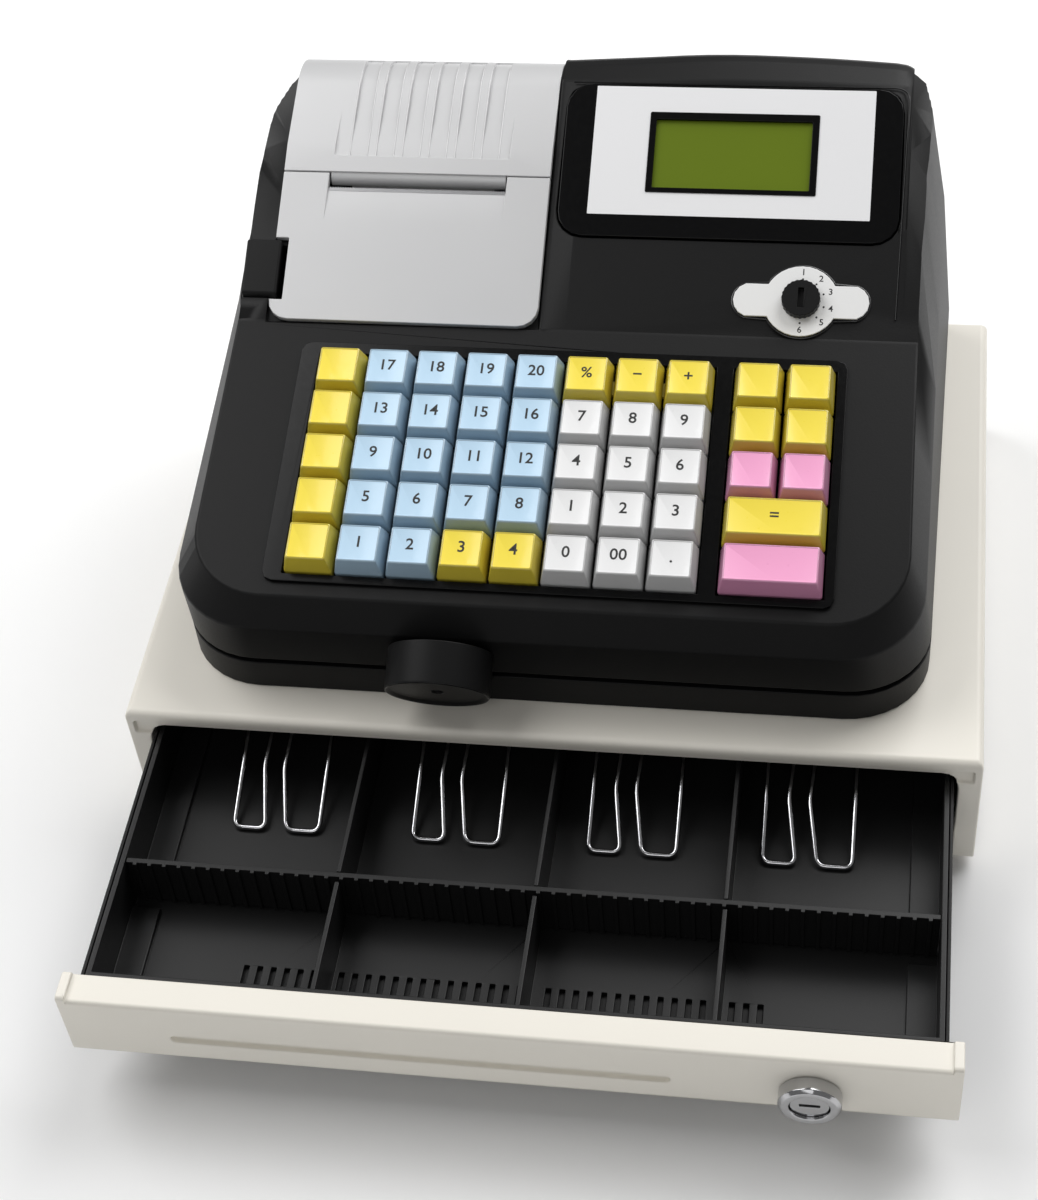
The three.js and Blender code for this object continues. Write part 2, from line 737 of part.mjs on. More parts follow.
function baseOutline(inset) {
  const right = rightSide(baseRing, inset);
  const left = right.map(([x, y]) => [-x, y]).reverse();
  return [...right, ...left].map(([x, y]) => [baseMiddle + x, y]);
}

function lowerCase() {
  // on the right the housing leans in from its base to its shoulder, and the lip stays clear of it
  const lean = baseMiddle + baseStep - shoulderMiddle - shoulderStep;
  const lipTop = baseTop + baseLipHeight;
  const leanStart = upperBottom - overrun;
  const lipLean = lean * (lipTop - leanStart) / (shoulderFrontZ - shellWall - leanStart);
  const lipInset = shellWall + slidingGap + lipLean;
  const skirt = prismZ(baseOutline(0), baseBottom, baseTop);
  const lip = prismZ(baseOutline(lipInset), baseTop - shellWall, lipTop);
  const hollow = prismZ(baseOutline(lipInset + baseWall), baseFloorTop, lipTop + overrun);
  const posts = boardCorners().map(([x, y]) => cylinderSolid(boardPostRadius, boardPostHeight + baseWall, 'z',
    [x, y, baseFloorTop + (boardPostHeight - baseWall) / 2], 12));
  return join(cut(join(skirt, lip), hollow), ...posts);
}

function boardCorners() {
  const xs = [boardLeft + boardPostInset, boardRight - boardPostInset];
  const ys = [boardFrontY + boardPostInset, boardFrontY + boardDepth - boardPostInset];
  return xs.flatMap((x) => ys.map((y) => [x, y]));
}

// Upper housing: three levels of outline, each a list of right-hand points from front to back

function bottomLevel(inset) {
  const z = inset > 0 ? upperBottom - overrun : upperBottom;
  return { middle: baseMiddle, points: rightSide(baseRing, inset).map(([x, y]) => [x, y, z]) };
}

function shoulderLevel(inset) {
  const depth = shoulderRearY - registerFrontY;
  const heightAt = (y) => shoulderFrontZ - inset + shoulderRise * (y - registerFrontY) / depth;
  const points = rightSide(shoulderRing, inset).map(([x, y]) => [x, y, heightAt(y)]);
  return { middle: shoulderMiddle, points };
}

function topLevel(inset) {
  const frontY = deckFrontY + inset;
  const radius = deckCornerRadius - inset;
  const halfAt = (y) => deckHalf - inset - deckTaper * (y - deckFrontY) / (ridgeY - deckFrontY);
  const deckZ = (y) => deckFrontZ + (y - deckFrontY) * Math.tan(deckTilt) - inset / Math.cos(deckTilt);
  const corner = arcPoints([halfAt(frontY + radius) - radius, frontY + radius], radius,
    3 * rightAngle, 4 * rightAngle, cornerSteps).map(([x, y]) => [x, y, deckZ(y)]);
  const bendShift = inset * Math.tan((displayTilt - deckTilt) / 2);
  const sides = sideStations.map((station) => {
    const y = station === bendY ? bendY + bendShift : station;
    const z = y <= bendY + bendShift ? deckZ(y) : slopeHeight(y, -inset);
    return [halfAt(y), y, z];
  });
  const crownTop = crownZ - inset;
  const round = crownRadius - inset;
  const rear = arcPoints([crownY, crownTop - round], round, rightAngle, 0, rearSteps - 1)
    .map(([y, z]) => [halfAt(ridgeY), y, z]);
  return { middle: deckMiddle, points: [...corner, ...sides, ...rear] };
}

function housingSolid(inset) {
  const levels = [bottomLevel(inset), shoulderLevel(inset), topLevel(inset)];
  const count = levels[0].points.length;
  const positions = [];
  const indices = [];
  for (const { middle, points } of levels) {
    for (const [x, y, z] of points) positions.push(middle + x, y, z);
    for (const [x, y, z] of [...points].reverse()) positions.push(middle - x, y, z);
  }
  const ring = 2 * count;
  for (let level = 0; level + 1 < levels.length; level += 1) {
    for (let i = 0; i < ring; i += 1) {
      const [a, b] = [level * ring + i, level * ring + (i + 1) % ring];
      indices.push(a, b, b + ring, a, b + ring, a + ring);
    }
  }
  const top = (levels.length - 1) * ring;
  for (let i = 0; i + 1 < count; i += 1) {
    const [right, left] = [i, ring - 1 - i];
    indices.push(top + right, top + right + 1, top + left - 1, top + right, top + left - 1, top + left);
    indices.push(right, left - 1, right + 1, right, left, left - 1);
  }
  const geometry = new THREE.BufferGeometry();
  geometry.setAttribute('position', new THREE.Float32BufferAttribute(positions, 3));
  geometry.setIndex(indices);
  return solid(geometry);
}

const keysLeft = firstColumnX - keyBase / 2;
const keysRight = firstColumnX + (keyColumns - 1) * keyPitch + keyBase / 2;
const padLeft = padColumnX - keyBase / 2;
const padRight = padColumnX + keyPitch + keyBase / 2;
const keysFront = firstRowV - (keyRows - 1) * keyPitch - keyBase / 2;
const keysRear = firstRowV + keyBase / 2;

// Seen from the side the lid runs up the slope, eases to the crest and rolls down to its hinge
const crestStart = slopePoint(seamS + lidStraight, coverProud);
const crestEnd = [
  crestStart[0] + crestLength * Math.cos(crestTilt), crestStart[1] + crestLength * Math.sin(crestTilt)];
const crestCentre = [
  crestEnd[0] + crestRadius * Math.sin(crestTilt), crestEnd[1] - crestRadius * Math.cos(crestTilt)];
const tailReach = crestRadius - tailRadius;
const tailCentre = [
  crestCentre[0] - tailReach * Math.sin(tailTilt), crestCentre[1] + tailReach * Math.cos(tailTilt)];
const lidHingeY = tailCentre[0] + tailRadius - lidBarrelRadius;
const lidHingeZ = tailCentre[1];
const crestTop = crestCentre[1] + crestRadius;

// the lid's line from the place fromS on the slope to the crest's end, moved inwards by depth
function crestLine(fromS, depth) {
  const middleTilt = (displayTilt + crestTilt) / 2;
  const reach = depth / Math.cos((displayTilt - crestTilt) / 2);
  const bend = [crestStart[0] + reach * Math.sin(middleTilt), crestStart[1] - reach * Math.cos(middleTilt)];
  const crest = arcPoints(crestCentre, crestRadius - depth, rightAngle + crestTilt * toDegrees,
    rightAngle + tailTilt * toDegrees, crestSteps);
  return [slopePoint(fromS, coverProud - depth), bend, ...crest];
}

// the lid's tail, from the crest's end down to the hinge
function tailLine(depth) {
  const arc = arcPoints(tailCentre, tailRadius - depth, rightAngle + tailTilt * toDegrees, 0, tailSteps);
  return arc.slice(1);
}

// the room of the two covers and the hinge barrel, larger all round by growth
function coverRoom(growth, x0, x1) {
  const top = crestTop + 4 * overrun;
  const frontS = coverFrontS - slidingGap - growth;
  const line = crestLine(frontS, coverThickness + clearance + growth);
  const mouth = slopePoint(frontS, overrun);
  const rearEdge = line[line.length - 1][0];
  const above = prismX([mouth, ...line, [rearEdge, top], [mouth[0], top]], x0, x1);
  const radius = lidBarrelRadius + slidingGap + growth;
  const barrel = cylinderSolid(radius, x1 - x0, 'x', [(x0 + x1) / 2, lidHingeY, lidHingeZ], 32);
  const behind = blockSolid(x0, x1, lidHingeY, housingRearY + overrun, lidHingeZ - radius, top);
  return join(above, barrel, behind);
}

// a solid along a strip, through the four corners that cornersAt gives at each of its places
function alongStrip(side, cornersAt) {
  const sections = stripPlaces.map(([s, drop, fall]) => {
    const ring = cornersAt(-drop, -drop - fall).map(([x, w]) => [side * x, s, w]);
    return side > 0 ? ring : ring.reverse();
  });
  return placed(loft(sections), slopeMatrix);
}

// what is taken off above a strip, from the border outwards
const stripCut = (border, side) => alongStrip(side, (inner, outer) => [
  [border, inner], [border, 4 * overrun], [border + stripWidth, 4 * overrun], [border + stripWidth, outer]]);

// the wall below a strip and beside its border
const stripWall = (border, side) => alongStrip(side, (inner, outer) => [
  [border - shellWall, inner - shellWall], [border - shellWall, -shellWall / 2],
  [border + stripWidth, -shellWall / 2], [border + stripWidth, outer - shellWall]]);

function printerBay() {
  const rearY = lidHingeY - lidBarrelRadius - slidingGap;
  return blockSolid(coverLeft + coverLedge, coverRight - coverLedge, headFrontY - slidingGap, rearY,
    bendZ - overrun, crestTop);
}

function upperCase() {
  const outer = housingSolid(0);
  const shell = cut(outer, housingSolid(shellWall));
  const roomLeft = coverLeft - slidingGap;
  const roomRight = coverRight + slidingGap;
  const trough = coverRoom(shellWall, roomLeft - lidCheek, roomRight + lidCheek);
  const stripCutLeft = -roomLeft;
  const walls = [stripWall(stripBorder, 1), stripWall(stripCutLeft, -1)];
  const body = join(shell, join(trough, ...walls).intersect(outer));
  const margin = 2 * windowMargin;
  const keyOpening = placed(blockSolid(keysLeft - margin, padRight + margin, keysFront - margin,
    keysRear + margin, -2 * shellWall, overrun), deckMatrix);
  const windowSeat = placed(prismZ(rectangle(windowLeft - clearance, windowRight + clearance,
    windowFrontS - clearance, windowRearS + clearance, windowRadius + clearance),
  windowProud - windowThickness - clearance, overrun), slopeMatrix);
  const screenHole = placed(blockSolid(screenLeft - windowSeatMargin, screenRight + windowSeatMargin,
    screenFrontS - windowSeatMargin, screenRearS + windowSeatMargin, -2 * shellWall, overrun), slopeMatrix);
  const shaftHole = placed(cylinderSolid(shaftRadius + clearance, 4 * shellWall, 'z', [modeX, modeS, 0], 20),
    slopeMatrix);
  const pinHole = (x0) => cylinderSolid(lidPinRadius + clearance, lidPinLength + slidingGap, 'x',
    [x0, lidHingeY, lidHingeZ], 12);
  const pinHoles = [pinHole(coverLeft - (lidPinLength + slidingGap) / 2),
    pinHole(coverRight + (lidPinLength + slidingGap) / 2)];
  const latchCut = blockSolid(latchLeft - overrun, latchRight + latchTravel + slidingGap,
    latchFrontY - slidingGap, latchRearY + slidingGap, latchBottom - slidingGap,
    slopeHeight(latchRearY, overrun));
  const inletHole = cylinderSolid(inletRadius + clearance, shoulderRearY - registerRearY + 8 * shellWall, 'y',
    [inletX, registerRearY, inletZ], 20);
  return cut(body, keyOpening, windowSeat, screenHole, shaftHole, coverRoom(0, roomLeft, roomRight),
    printerBay(), ...pinHoles, latchCut, inletHole, stripCut(stripBorder, 1),
    stripCut(stripCutLeft, -1));
}

addPiece('lower_case', lowerCase(), blackPlastic);
addPiece('upper_case', upperCase(), blackPlastic);

// Keyboard

function keyBezel() {
  const plate = prismZ(rectangle(bezelLeft, bezelRight, bezelFront, bezelRear, bezelRadius, 2),
    clearance, clearance + bezelThickness);
  const main = blockSolid(keysLeft - windowMargin, keysRight + windowMargin, keysFront - windowMargin,
    keysRear + windowMargin, -overrun, overrun);
  const pad = blockSolid(padLeft - windowMargin, padRight + windowMargin, keysFront - windowMargin,
    keysRear + windowMargin, -overrun, overrun);
  return cut(plate, main, pad);
}

const columnX = (column) => (column < keyColumns
  ? firstColumnX + column * keyPitch
  : padColumnX + (column - keyColumns) * keyPitch);
const rowV = (row) => firstRowV - row * keyPitch;

// every key: its place, its width in keys, its colour and the bank that it moves with
const keyLayout = [];
for (let row = 0; row < keyRows; row += 1) {
  keyLayout.push({ bank: 'function_keys', x: columnX(0), v: rowV(row), span: 1, material: yellowKey });
  for (let column = 1; column < 5; column += 1) {
    keyLayout.push({
      bank: `department_keys_${column}`, x: columnX(column), v: rowV(row), span: 1, material: blueKey });
  }
}
for (let column = 5; column < keyColumns; column += 1) {
  keyLayout.push({ bank: 'entry_keys', x: columnX(column), v: rowV(0), span: 1, material: yellowKey });
}
const digitNames = [['7', '8', '9'], ['4', '5', '6'], ['1', '2', '3'], ['0', '00', 'point']];
digitNames.forEach((names, row) => names.forEach((name, column) => {
  keyLayout.push({
    bank: `key_${name}`, x: columnX(5 + column), v: rowV(row + 1), span: 1, material: whiteKey });
}));
for (let column = 0; column < 2; column += 1) {
  for (let row = 0; row < 3; row += 1) {
    keyLayout.push({
      bank: `modifier_keys_${column + 1}`, x: columnX(keyColumns + column), v: rowV(row), span: 1,
      material: yellowKey });
  }
}
const wideX = padColumnX + keyPitch / 2;
keyLayout.push({ bank: 'total_key', x: wideX, v: rowV(3), span: 2, material: yellowKey });
keyLayout.push({ bank: 'tender_key', x: wideX, v: rowV(4), span: 2, material: pinkKey });

function loft(levels) {
  const count = levels[0].length;
  const positions = levels.flat(2);
  const indices = [];
  for (let level = 0; level + 1 < levels.length; level += 1) {
    for (let i = 0; i < count; i += 1) {
      const [a, b] = [level * count + i, level * count + (i + 1) % count];
      indices.push(a, b, b + count, a, b + count, a + count);
    }
  }
  const top = (levels.length - 1) * count;
  for (let i = 1; i + 1 < count; i += 1) {
    indices.push(0, i + 1, i, top, top + i, top + i + 1);
  }
  const geometry = new THREE.BufferGeometry();
  geometry.setAttribute('position', new THREE.Float32BufferAttribute(positions, 3));
  geometry.setIndex(indices);
  return solid(geometry);
}

function keySolid({ x, v, span }) {
  const extra = (span - 1) * keyPitch / 2;
  const level = (size, w) => rectangle(x - size / 2 - extra, x + size / 2 + extra,
    v - size / 2, v + size / 2, 0).map(([px, py]) => [px, py, w]);
  const cap = loft([level(keyBase, -keyDrop), level(keyBase, keySkirt), level(keyTop, keyHeight - keyEdge),
    level(keyTop - 2 * keyEdge, keyHeight)]);
  const half = stemWidth / 2;
  const stem = blockSolid(x - half, x + half, v - half, v + half, -keyDrop - stemLength,
    -keyDrop + keySkirt / 2);
  return join(cap, stem);
}

// keys of one bank are tied by a thin web under their skirts
function keyBank(keys) {
  const solids = keys.map(keySolid);
  if (keys.length > 1) {
    const xs = keys.map((key) => key.x);
    const vs = keys.map((key) => key.v);
    const half = webWidth / 2;
    const across = Math.max(...xs) > Math.min(...xs);
    solids.push(blockSolid(Math.min(...xs) - (across ? 0 : half), Math.max(...xs) + (across ? 0 : half),
      Math.min(...vs) - (across ? half : 0), Math.max(...vs) + (across ? half : 0),
      -keyDrop, -keyDrop + webThickness));
  }
  return join(...solids);
}

function switchPlate() {
  const edge = plateRim + windowMargin * 2;
  const [x0, x1, v0, v1] = [keysLeft - edge, padRight + edge, keysFront - edge, keysRear + edge];
  const tray = blockSolid(x0, x1, v0, v1, -plateDrop - plateThickness, -shellWall - clearance);
  const hollow = blockSolid(x0 + plateRim, x1 - plateRim, v0 + plateRim, v1 - plateRim, -plateDrop, overrun);
  const half = stemWidth / 2 + clearance;
  const sockets = keyLayout.map(({ x, v }) => blockSolid(x - half, x + half, v - half, v + half,
    -plateDrop - plateThickness - overrun, overrun));
  return cut(tray, hollow, ...sockets);
}

addPiece('key_bezel', keyBezel(), glossBlack, deck);
addPiece('switch_plate', switchPlate(), blackPlastic, deck);
for (const bank of new Set(keyLayout.map((key) => key.bank))) {
  const keys = keyLayout.filter((key) => key.bank === bank);
  addPiece(bank, keyBank(keys), keys[0].material, deck);
}

// Mode switch

function modePlate() {
  const disc = cylinderSolid(modePlateRadius, modePlateThickness, 'z',
    [modeX, modeS, clearance + modePlateThickness / 2], 32);
  const left = arcPoints([modeX - modeWingHalf + modeWingRadius, modeS], modeWingRadius, 110, 250, 6);
  const right = arcPoints([modeX + modeWingHalf - modeWingRadius, modeS], modeWingRadius, -70, 70, 6);
  const wings = prismZ([...left, ...right], clearance, clearance + modePlateThickness);
  const hole = cylinderSolid(shaftRadius + clearance, 4 * shellWall, 'z', [modeX, modeS, 0], 20);
  return cut(join(disc, wings), hole);
}

function modeSwitch() {
  const seat = 2 * clearance + modePlateThickness;
  const teeth = [];
  for (let i = 0; i < 2 * knobTeeth; i += 1) {
    const angle = Math.PI * i / knobTeeth;
    const radius = i % 2 === 0 ? knobRadius : knobRadius - clearance;
    teeth.push([modeX + radius * Math.cos(angle), modeS + radius * Math.sin(angle)]);
  }
  const knob = prismZ(teeth, seat, seat + knobHeight);
  const shaft = cylinderSolid(shaftRadius, shaftLength + knobHeight, 'z',
    [modeX, modeS, seat + (knobHeight - shaftLength) / 2], 20);
  const keyHole = blockSolid(modeX - keyHoleWidth / 2, modeX + keyHoleWidth / 2, modeS - keyHoleLength / 2,
    modeS + keyHoleLength / 2, seat + knobHeight - keyHoleDepth, seat + knobHeight + overrun);
  return cut(join(knob, shaft), keyHole);
}

addPiece('mode_plate', modePlate(), whitePlastic, slope);
addPiece('mode_switch', modeSwitch(), blackPlastic, slope);

// Display

function displayWindow() {
  const plate = prismZ(rectangle(windowLeft, windowRight, windowFrontS, windowRearS, windowRadius),
    windowProud - windowThickness, windowProud);
  const hole = blockSolid(screenLeft, screenRight, screenFrontS, screenRearS,
    -windowThickness - overrun, overrun);
  return cut(plate, hole);
}

function lcdScreen() {
  const top = windowProud - screenSink;
  return block(screenLeft + clearance, screenRight - clearance, screenFrontS + clearance,
    screenRearS - clearance, top - screenDepth, top);
}

addPiece('display_window', displayWindow(), glossBlack, slope);
addPiece('lcd_screen', lcdScreen(), screenGreen, slope);

// Printer covers and latch

function printerCover() {
  const under = coverProud - coverThickness;
  const plate = prismZ(rectangle(coverLeft, coverRight, coverFrontS, seamS, [coverRadius, coverRadius, 0, 0]),
    under, coverProud);
  const slot = blockSolid(slotLeft, slotRight, seamS - slotWidth, seamS + overrun, under - overrun,
    coverProud + overrun);
  const scoopFront = seamS - slotWidth - scoopLength;
  const scoop = prismX([[scoopFront, coverProud], [seamS, coverProud - scoopDepth],
    [seamS, coverProud + overrun], [scoopFront, coverProud + overrun]], slotLeft, slotRight);
  // where an upright plane at y cuts the slope at the height w over it
  const slopePlace = (y, w) => (y - bendY + w * Math.sin(displayTilt)) / Math.cos(displayTilt);
  const notchFront = slopePlace(latchFrontY - slidingGap, under);
  const notchRear = slopePlace(latchRearY + slidingGap, coverProud);
  const notch = blockSolid(coverLeft - overrun, latchRight + latchTravel + slidingGap, notchFront, notchRear,
    under - overrun, coverProud + overrun);
  return cut(plate, slot, scoop, notch);
}

function printerLid() {
  const lineFrom = seamS + seamGap;
  const outer = [...crestLine(lineFrom, 0), ...tailLine(0)];
  const inner = [...crestLine(lineFrom, coverThickness), ...tailLine(coverThickness)].reverse();
  const middle = [(coverLeft + coverRight) / 2, lidHingeY, lidHingeZ];
  const barrel = cylinderSolid(lidBarrelRadius, coverRight - coverLeft, 'x', middle, 32);
  const lid = join(prismX([...outer, ...inner], coverLeft, coverRight), barrel);
  const boreRadius = lidBarrelRadius - coverThickness;
  const bore = cylinderSolid(boreRadius, coverRight - coverLeft - 4 * coverThickness, 'x', middle, 16);
  const drain = blockSolid(coverLeft + 2 * coverThickness, coverRight - 2 * coverThickness,
    lidHingeY - boreRadius / 2, lidHingeY + boreRadius / 2, lidHingeZ - lidBarrelRadius - overrun, lidHingeZ);
  const pins = cylinderSolid(lidPinRadius, coverRight - coverLeft + 2 * lidPinLength, 'x', middle, 12);
  const inside = blockSolid(coverLeft + coverThickness, coverRight - coverThickness,
    lidHingeY - lidBarrelRadius, lidHingeY + lidBarrelRadius, lidHingeZ - lidBarrelRadius,
    lidHingeZ + lidBarrelRadius);
  return join(cut(lid, bore, drain, rampCut(), ...channelCuts()), cut(pins, inside));
}

// the grip ramp sinks from the lid's face towards the seam
function rampCut() {
  const runUp = rampLength - (seamS + lidStraight - rampFrontS);
  const end = [crestStart[0] + runUp * Math.cos(crestTilt), crestStart[1] + runUp * Math.sin(crestTilt)];
  return prismX([slopePoint(rampFrontS, coverProud - rampDepth), end, [end[0], end[1] + 2 * overrun],
    slopePoint(rampFrontS, coverProud + overrun)], rampLeft, rampRight);
}

// shallow channels run from the ramp's foot over the crest
function channelCuts() {
  const outline = [...crestLine(rampFrontS, channelDepth), ...crestLine(rampFrontS, -overrun).reverse()];
  const cuts = [];
  for (let i = 0; i < channelCount; i += 1) {
    const x = channelFirstX + i * channelPitch;
    cuts.push(prismX(outline, x, x + channelWidth));
  }
  return cuts;
}

function coverLatch() {
  const at = (y) => slopeHeight(y, latchProud);
  return prismX([[latchFrontY, latchBottom], [latchRearY, latchBottom], [latchRearY, at(latchRearY)],
    [latchFrontY, at(latchFrontY)]], latchLeft, latchRight);
}

addPiece('printer_cover', printerCover(), silver, slope);
addPiece('printer_lid', printerLid(), silver);
addPiece('cover_latch', coverLatch(), blackPlastic);

// Printer, platen and paper roll

function printerMechanism() {
  const outer = rollRadius + cradleGap + cradleWall;
  const inner = rollRadius + cradleGap;
  const cradle = prismX([...arcPoints([rollY, rollZ], outer, 180, 360, 18),
    ...arcPoints([rollY, rollZ], inner, 360, 180, 18)], printerLeft, printerRight);
  const under = -coverThickness;
  const cheekOutline = [[headFrontY, headBottom], [rollY - inner / 2, headBottom], [rollY - inner, rollZ],
    [rollY - inner, slopeHeight(rollY - inner, under)], [headFrontY, slopeHeight(headFrontY, under)]];
  const cheeks = [printerLeft, printerRight - cheekWall].map((x) => prismX(cheekOutline, x, x + cheekWall));
  const head = blockSolid(printerLeft, printerRight, headFrontY, headFrontY + headDepth, headBottom,
    headBottom + headHeight);
  const deckPlate = blockSolid(printerLeft, printerRight, headFrontY, rollY - inner / 2, headBottom,
    headBottom + cheekWall);
  const leg = (x, y, top) => blockSolid(x, x + postWidth, y, y + postWidth, baseFloorTop + clearance, top);
  const legs = [printerLeft, printerRight - postWidth].flatMap((x) => [
    leg(x, headFrontY, headBottom + cheekWall),
    leg(x, rollY - postWidth / 2, rollZ - inner - cradleWall / 2)]);
  const barRear = headFrontY + headDepth;
  const tearBar = blockSolid(printerLeft, printerRight, barRear - cheekWall, barRear, headBottom + cheekWall,
    slopeHeight(barRear - cheekWall, under));
  const axle = cylinderSolid(platenAxleRadius + clearance, 2 * (printerRight - printerLeft), 'x',
    [(printerLeft + printerRight) / 2, platenY, platenZ], 12);
  const rollRoom = cylinderSolid(inner, printerRight - printerLeft - 2 * cheekWall, 'x',
    [(printerLeft + printerRight) / 2, rollY, rollZ], 24);
  const platenRoom = cylinderSolid(platenRadius + slidingGap, printerRight - printerLeft - 2 * cheekWall, 'x',
    [(printerLeft + printerRight) / 2, platenY, platenZ], 20);
  return cut(join(cradle, ...cheeks, head, deckPlate, ...legs, tearBar), axle, platenRoom, rollRoom);
}

const headBottom = platenZ - headDrop;

function paperRoll() {
  const roll = cylinderSolid(rollRadius, rollWidth, 'x', [0, 0, 0], 32);
  return cut(roll, cylinderSolid(rollCoreRadius, rollWidth + 2 * overrun, 'x', [0, 0, 0], 16));
}

function platenRoller() {
  const inside = printerRight - printerLeft - 2 * (cheekWall + clearance);
  const rubberSleeve = cylinderSolid(platenRadius, inside, 'x', [0, 0, 0], 20);
  const axle = cylinderSolid(platenAxleRadius, printerRight - printerLeft, 'x', [0, 0, 0], 12);
  return join(rubberSleeve, axle);
}

const printerMiddle = (printerLeft + printerRight) / 2;
addPiece('printer_mechanism', printerMechanism(), blackPlastic);
addPiece('paper_roll', paperRoll(), paper).position.set(printerMiddle, rollY, rollZ);
addPiece('platen_roller', platenRoller(), rubber).position.set(printerMiddle, platenY, platenZ);

// Clerk key reader: a short drum tipped down, trimmed where it meets the front

function clerkKeyReader() {
  const hole = readerHoleDepth;
  const profile = [[0, hole], [readerHoleRadius, hole], [readerHoleRadius, readerDish],
    [readerRadius - readerRim - readerDish, readerDish], [readerRadius - readerRim, 0],
    [readerRadius - clearance, 0], [readerRadius, clearance], [readerRadius, readerDepth], [0, readerDepth]];
  const turned = new THREE.LatheGeometry(profile.map(([r, y]) => new THREE.Vector2(r, y)), 36);
  turned.rotateX(readerTilt);
  const drum = solid(turned.translate(readerX, readerY, readerZ));
  const behind = blockSolid(readerX - 2 * readerRadius, readerX + 2 * readerRadius,
    registerFrontY - clearance, registerFrontY + 3 * readerRadius, caseTop - readerRadius,
    caseTop + 4 * readerRadius);
  return cut(drum, behind);
}

addPiece('clerk_key_reader', clerkKeyReader(), blackPlastic);

// Boards and power

function powerInlet() {
  const rearY = (registerRearY + shoulderRearY) / 2;
  const body = cylinderSolid(inletRadius, inletLength, 'y', [inletX, rearY - inletLength / 2, inletZ], 20);
  const flange = cylinderSolid(inletFlangeRadius, inletFlange, 'y',
    [inletX, rearY + inletFlange / 2, inletZ], 20);
  const bore = cylinderSolid(inletBoreRadius, inletBoreDepth, 'y',
    [inletX, rearY + inletFlange - inletBoreDepth / 2 + clearance, inletZ], 16);
  return cut(join(body, flange), bore);
}

const boardBottom = baseFloorTop + boardPostHeight + clearance;
addPiece('main_board', block(boardLeft, boardRight, boardFrontY, boardFrontY + boardDepth, boardBottom,
  boardBottom + boardThickness), boardGreen);
addPiece('power_supply', block(supplyX - supplyWidth / 2, supplyX + supplyWidth / 2,
  supplyY - supplyDepth / 2, supplyY + supplyDepth / 2, baseFloorTop + clearance,
  baseFloorTop + clearance + supplyHeight), blackSteel);
addPiece('power_inlet', powerInlet(), blackPlastic);

// the origin is the middle of the footprint: half way between the lock face and the housing's rear
const originY = (panelFront - clearance - lockReach + housingRearY) / 2;
const ticketRegister = new THREE.Group();
register.position.y = -originY;
ticketRegister.add(register);

export default ticketRegister;
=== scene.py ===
# Ticket register: a small cash register on a steel cash drawer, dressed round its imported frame.
import math

import bmesh
import bpy
import numpy as np
from mathutils import Matrix, Vector


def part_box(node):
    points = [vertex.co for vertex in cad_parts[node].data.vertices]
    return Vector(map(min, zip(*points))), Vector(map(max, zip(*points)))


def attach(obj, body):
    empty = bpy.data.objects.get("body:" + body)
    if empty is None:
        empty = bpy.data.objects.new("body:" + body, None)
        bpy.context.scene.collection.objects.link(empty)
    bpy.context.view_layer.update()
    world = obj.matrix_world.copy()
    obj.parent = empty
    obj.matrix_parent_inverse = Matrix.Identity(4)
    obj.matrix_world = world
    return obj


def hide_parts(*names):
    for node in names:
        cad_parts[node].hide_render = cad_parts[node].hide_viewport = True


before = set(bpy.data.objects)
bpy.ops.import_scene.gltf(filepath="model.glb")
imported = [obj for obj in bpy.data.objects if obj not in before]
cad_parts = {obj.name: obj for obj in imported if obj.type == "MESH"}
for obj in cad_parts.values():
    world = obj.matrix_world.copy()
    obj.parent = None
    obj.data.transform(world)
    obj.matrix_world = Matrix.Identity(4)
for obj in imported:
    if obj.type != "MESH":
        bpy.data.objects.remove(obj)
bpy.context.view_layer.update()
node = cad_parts

# The view: the camera stands above and to the right of the counter, as the photographer did.
# Its place is counted in metres from the front plane of the drawer case.
front_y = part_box("case_cover")[0][1]
CAMERA_ACROSS, CAMERA_BEFORE, CAMERA_HEIGHT = 0.115331, 0.530388, 0.730209
CAMERA_LENS, CAMERA_SENSOR, CAMERA_NEAR, CAMERA_FAR = 70.22, 36, 0.05, 20
camera_data = bpy.data.cameras.new("camera")
camera = bpy.data.objects.new("camera", camera_data)
bpy.context.scene.collection.objects.link(camera)
bpy.context.scene.camera = camera
camera_right = Vector((0.98782367, 0.13654127, -0.07457126))
camera_up = Vector((-0.05169, 0.74012, 0.67048))
camera_forward = Vector((-0.14674041, 0.65846403, -0.73816826))
turn = Matrix((camera_right, camera_up, -camera_forward)).transposed()
camera_place = (CAMERA_ACROSS, front_y - CAMERA_BEFORE, CAMERA_HEIGHT)
camera.matrix_world = Matrix.Translation(camera_place) @ turn.to_4x4()
camera_data.lens = CAMERA_LENS
camera_data.sensor_width = CAMERA_SENSOR
camera_data.clip_start = CAMERA_NEAR
camera_data.clip_end = CAMERA_FAR
bpy.context.scene.view_settings.view_transform = "Standard"

# The studio: one square white floor, wider than the view, and three soft lamps. The sky is plain
# white to the camera alone, and a much dimmer white for the light that it gives.
FLOOR_HALF = 1.8
FLOOR_WHITE, FLOOR_ROUGHNESS, FLOOR_SHINE = (0.96, 0.96, 0.96, 1), 0.9, 0.1
SKY_GLOW = 0.2
# Each lamp's power in watts, the side of its square, its place, and where it aims, in metres.
LAMPS = {"key_lamp": (19, 1.3, (-1.1, 0.35, 1.5), (0, 0, 0.08)),
         "fill_lamp": (4, 1.1, (-0.15, -1.45, 1.35), (0, 0, 0.08)),
         "rear_lamp": (28, 1.4, (0.75, 1.1, 1.45), (0, 0, 0.1))}


def node_tree(name):
    """A new material, its tree, and the shader that the tree holds beside its output."""
    material = bpy.data.materials.new(name)
    material.use_nodes = True
    tree = material.node_tree
    return material, tree, tree.nodes["Principled BSDF"]


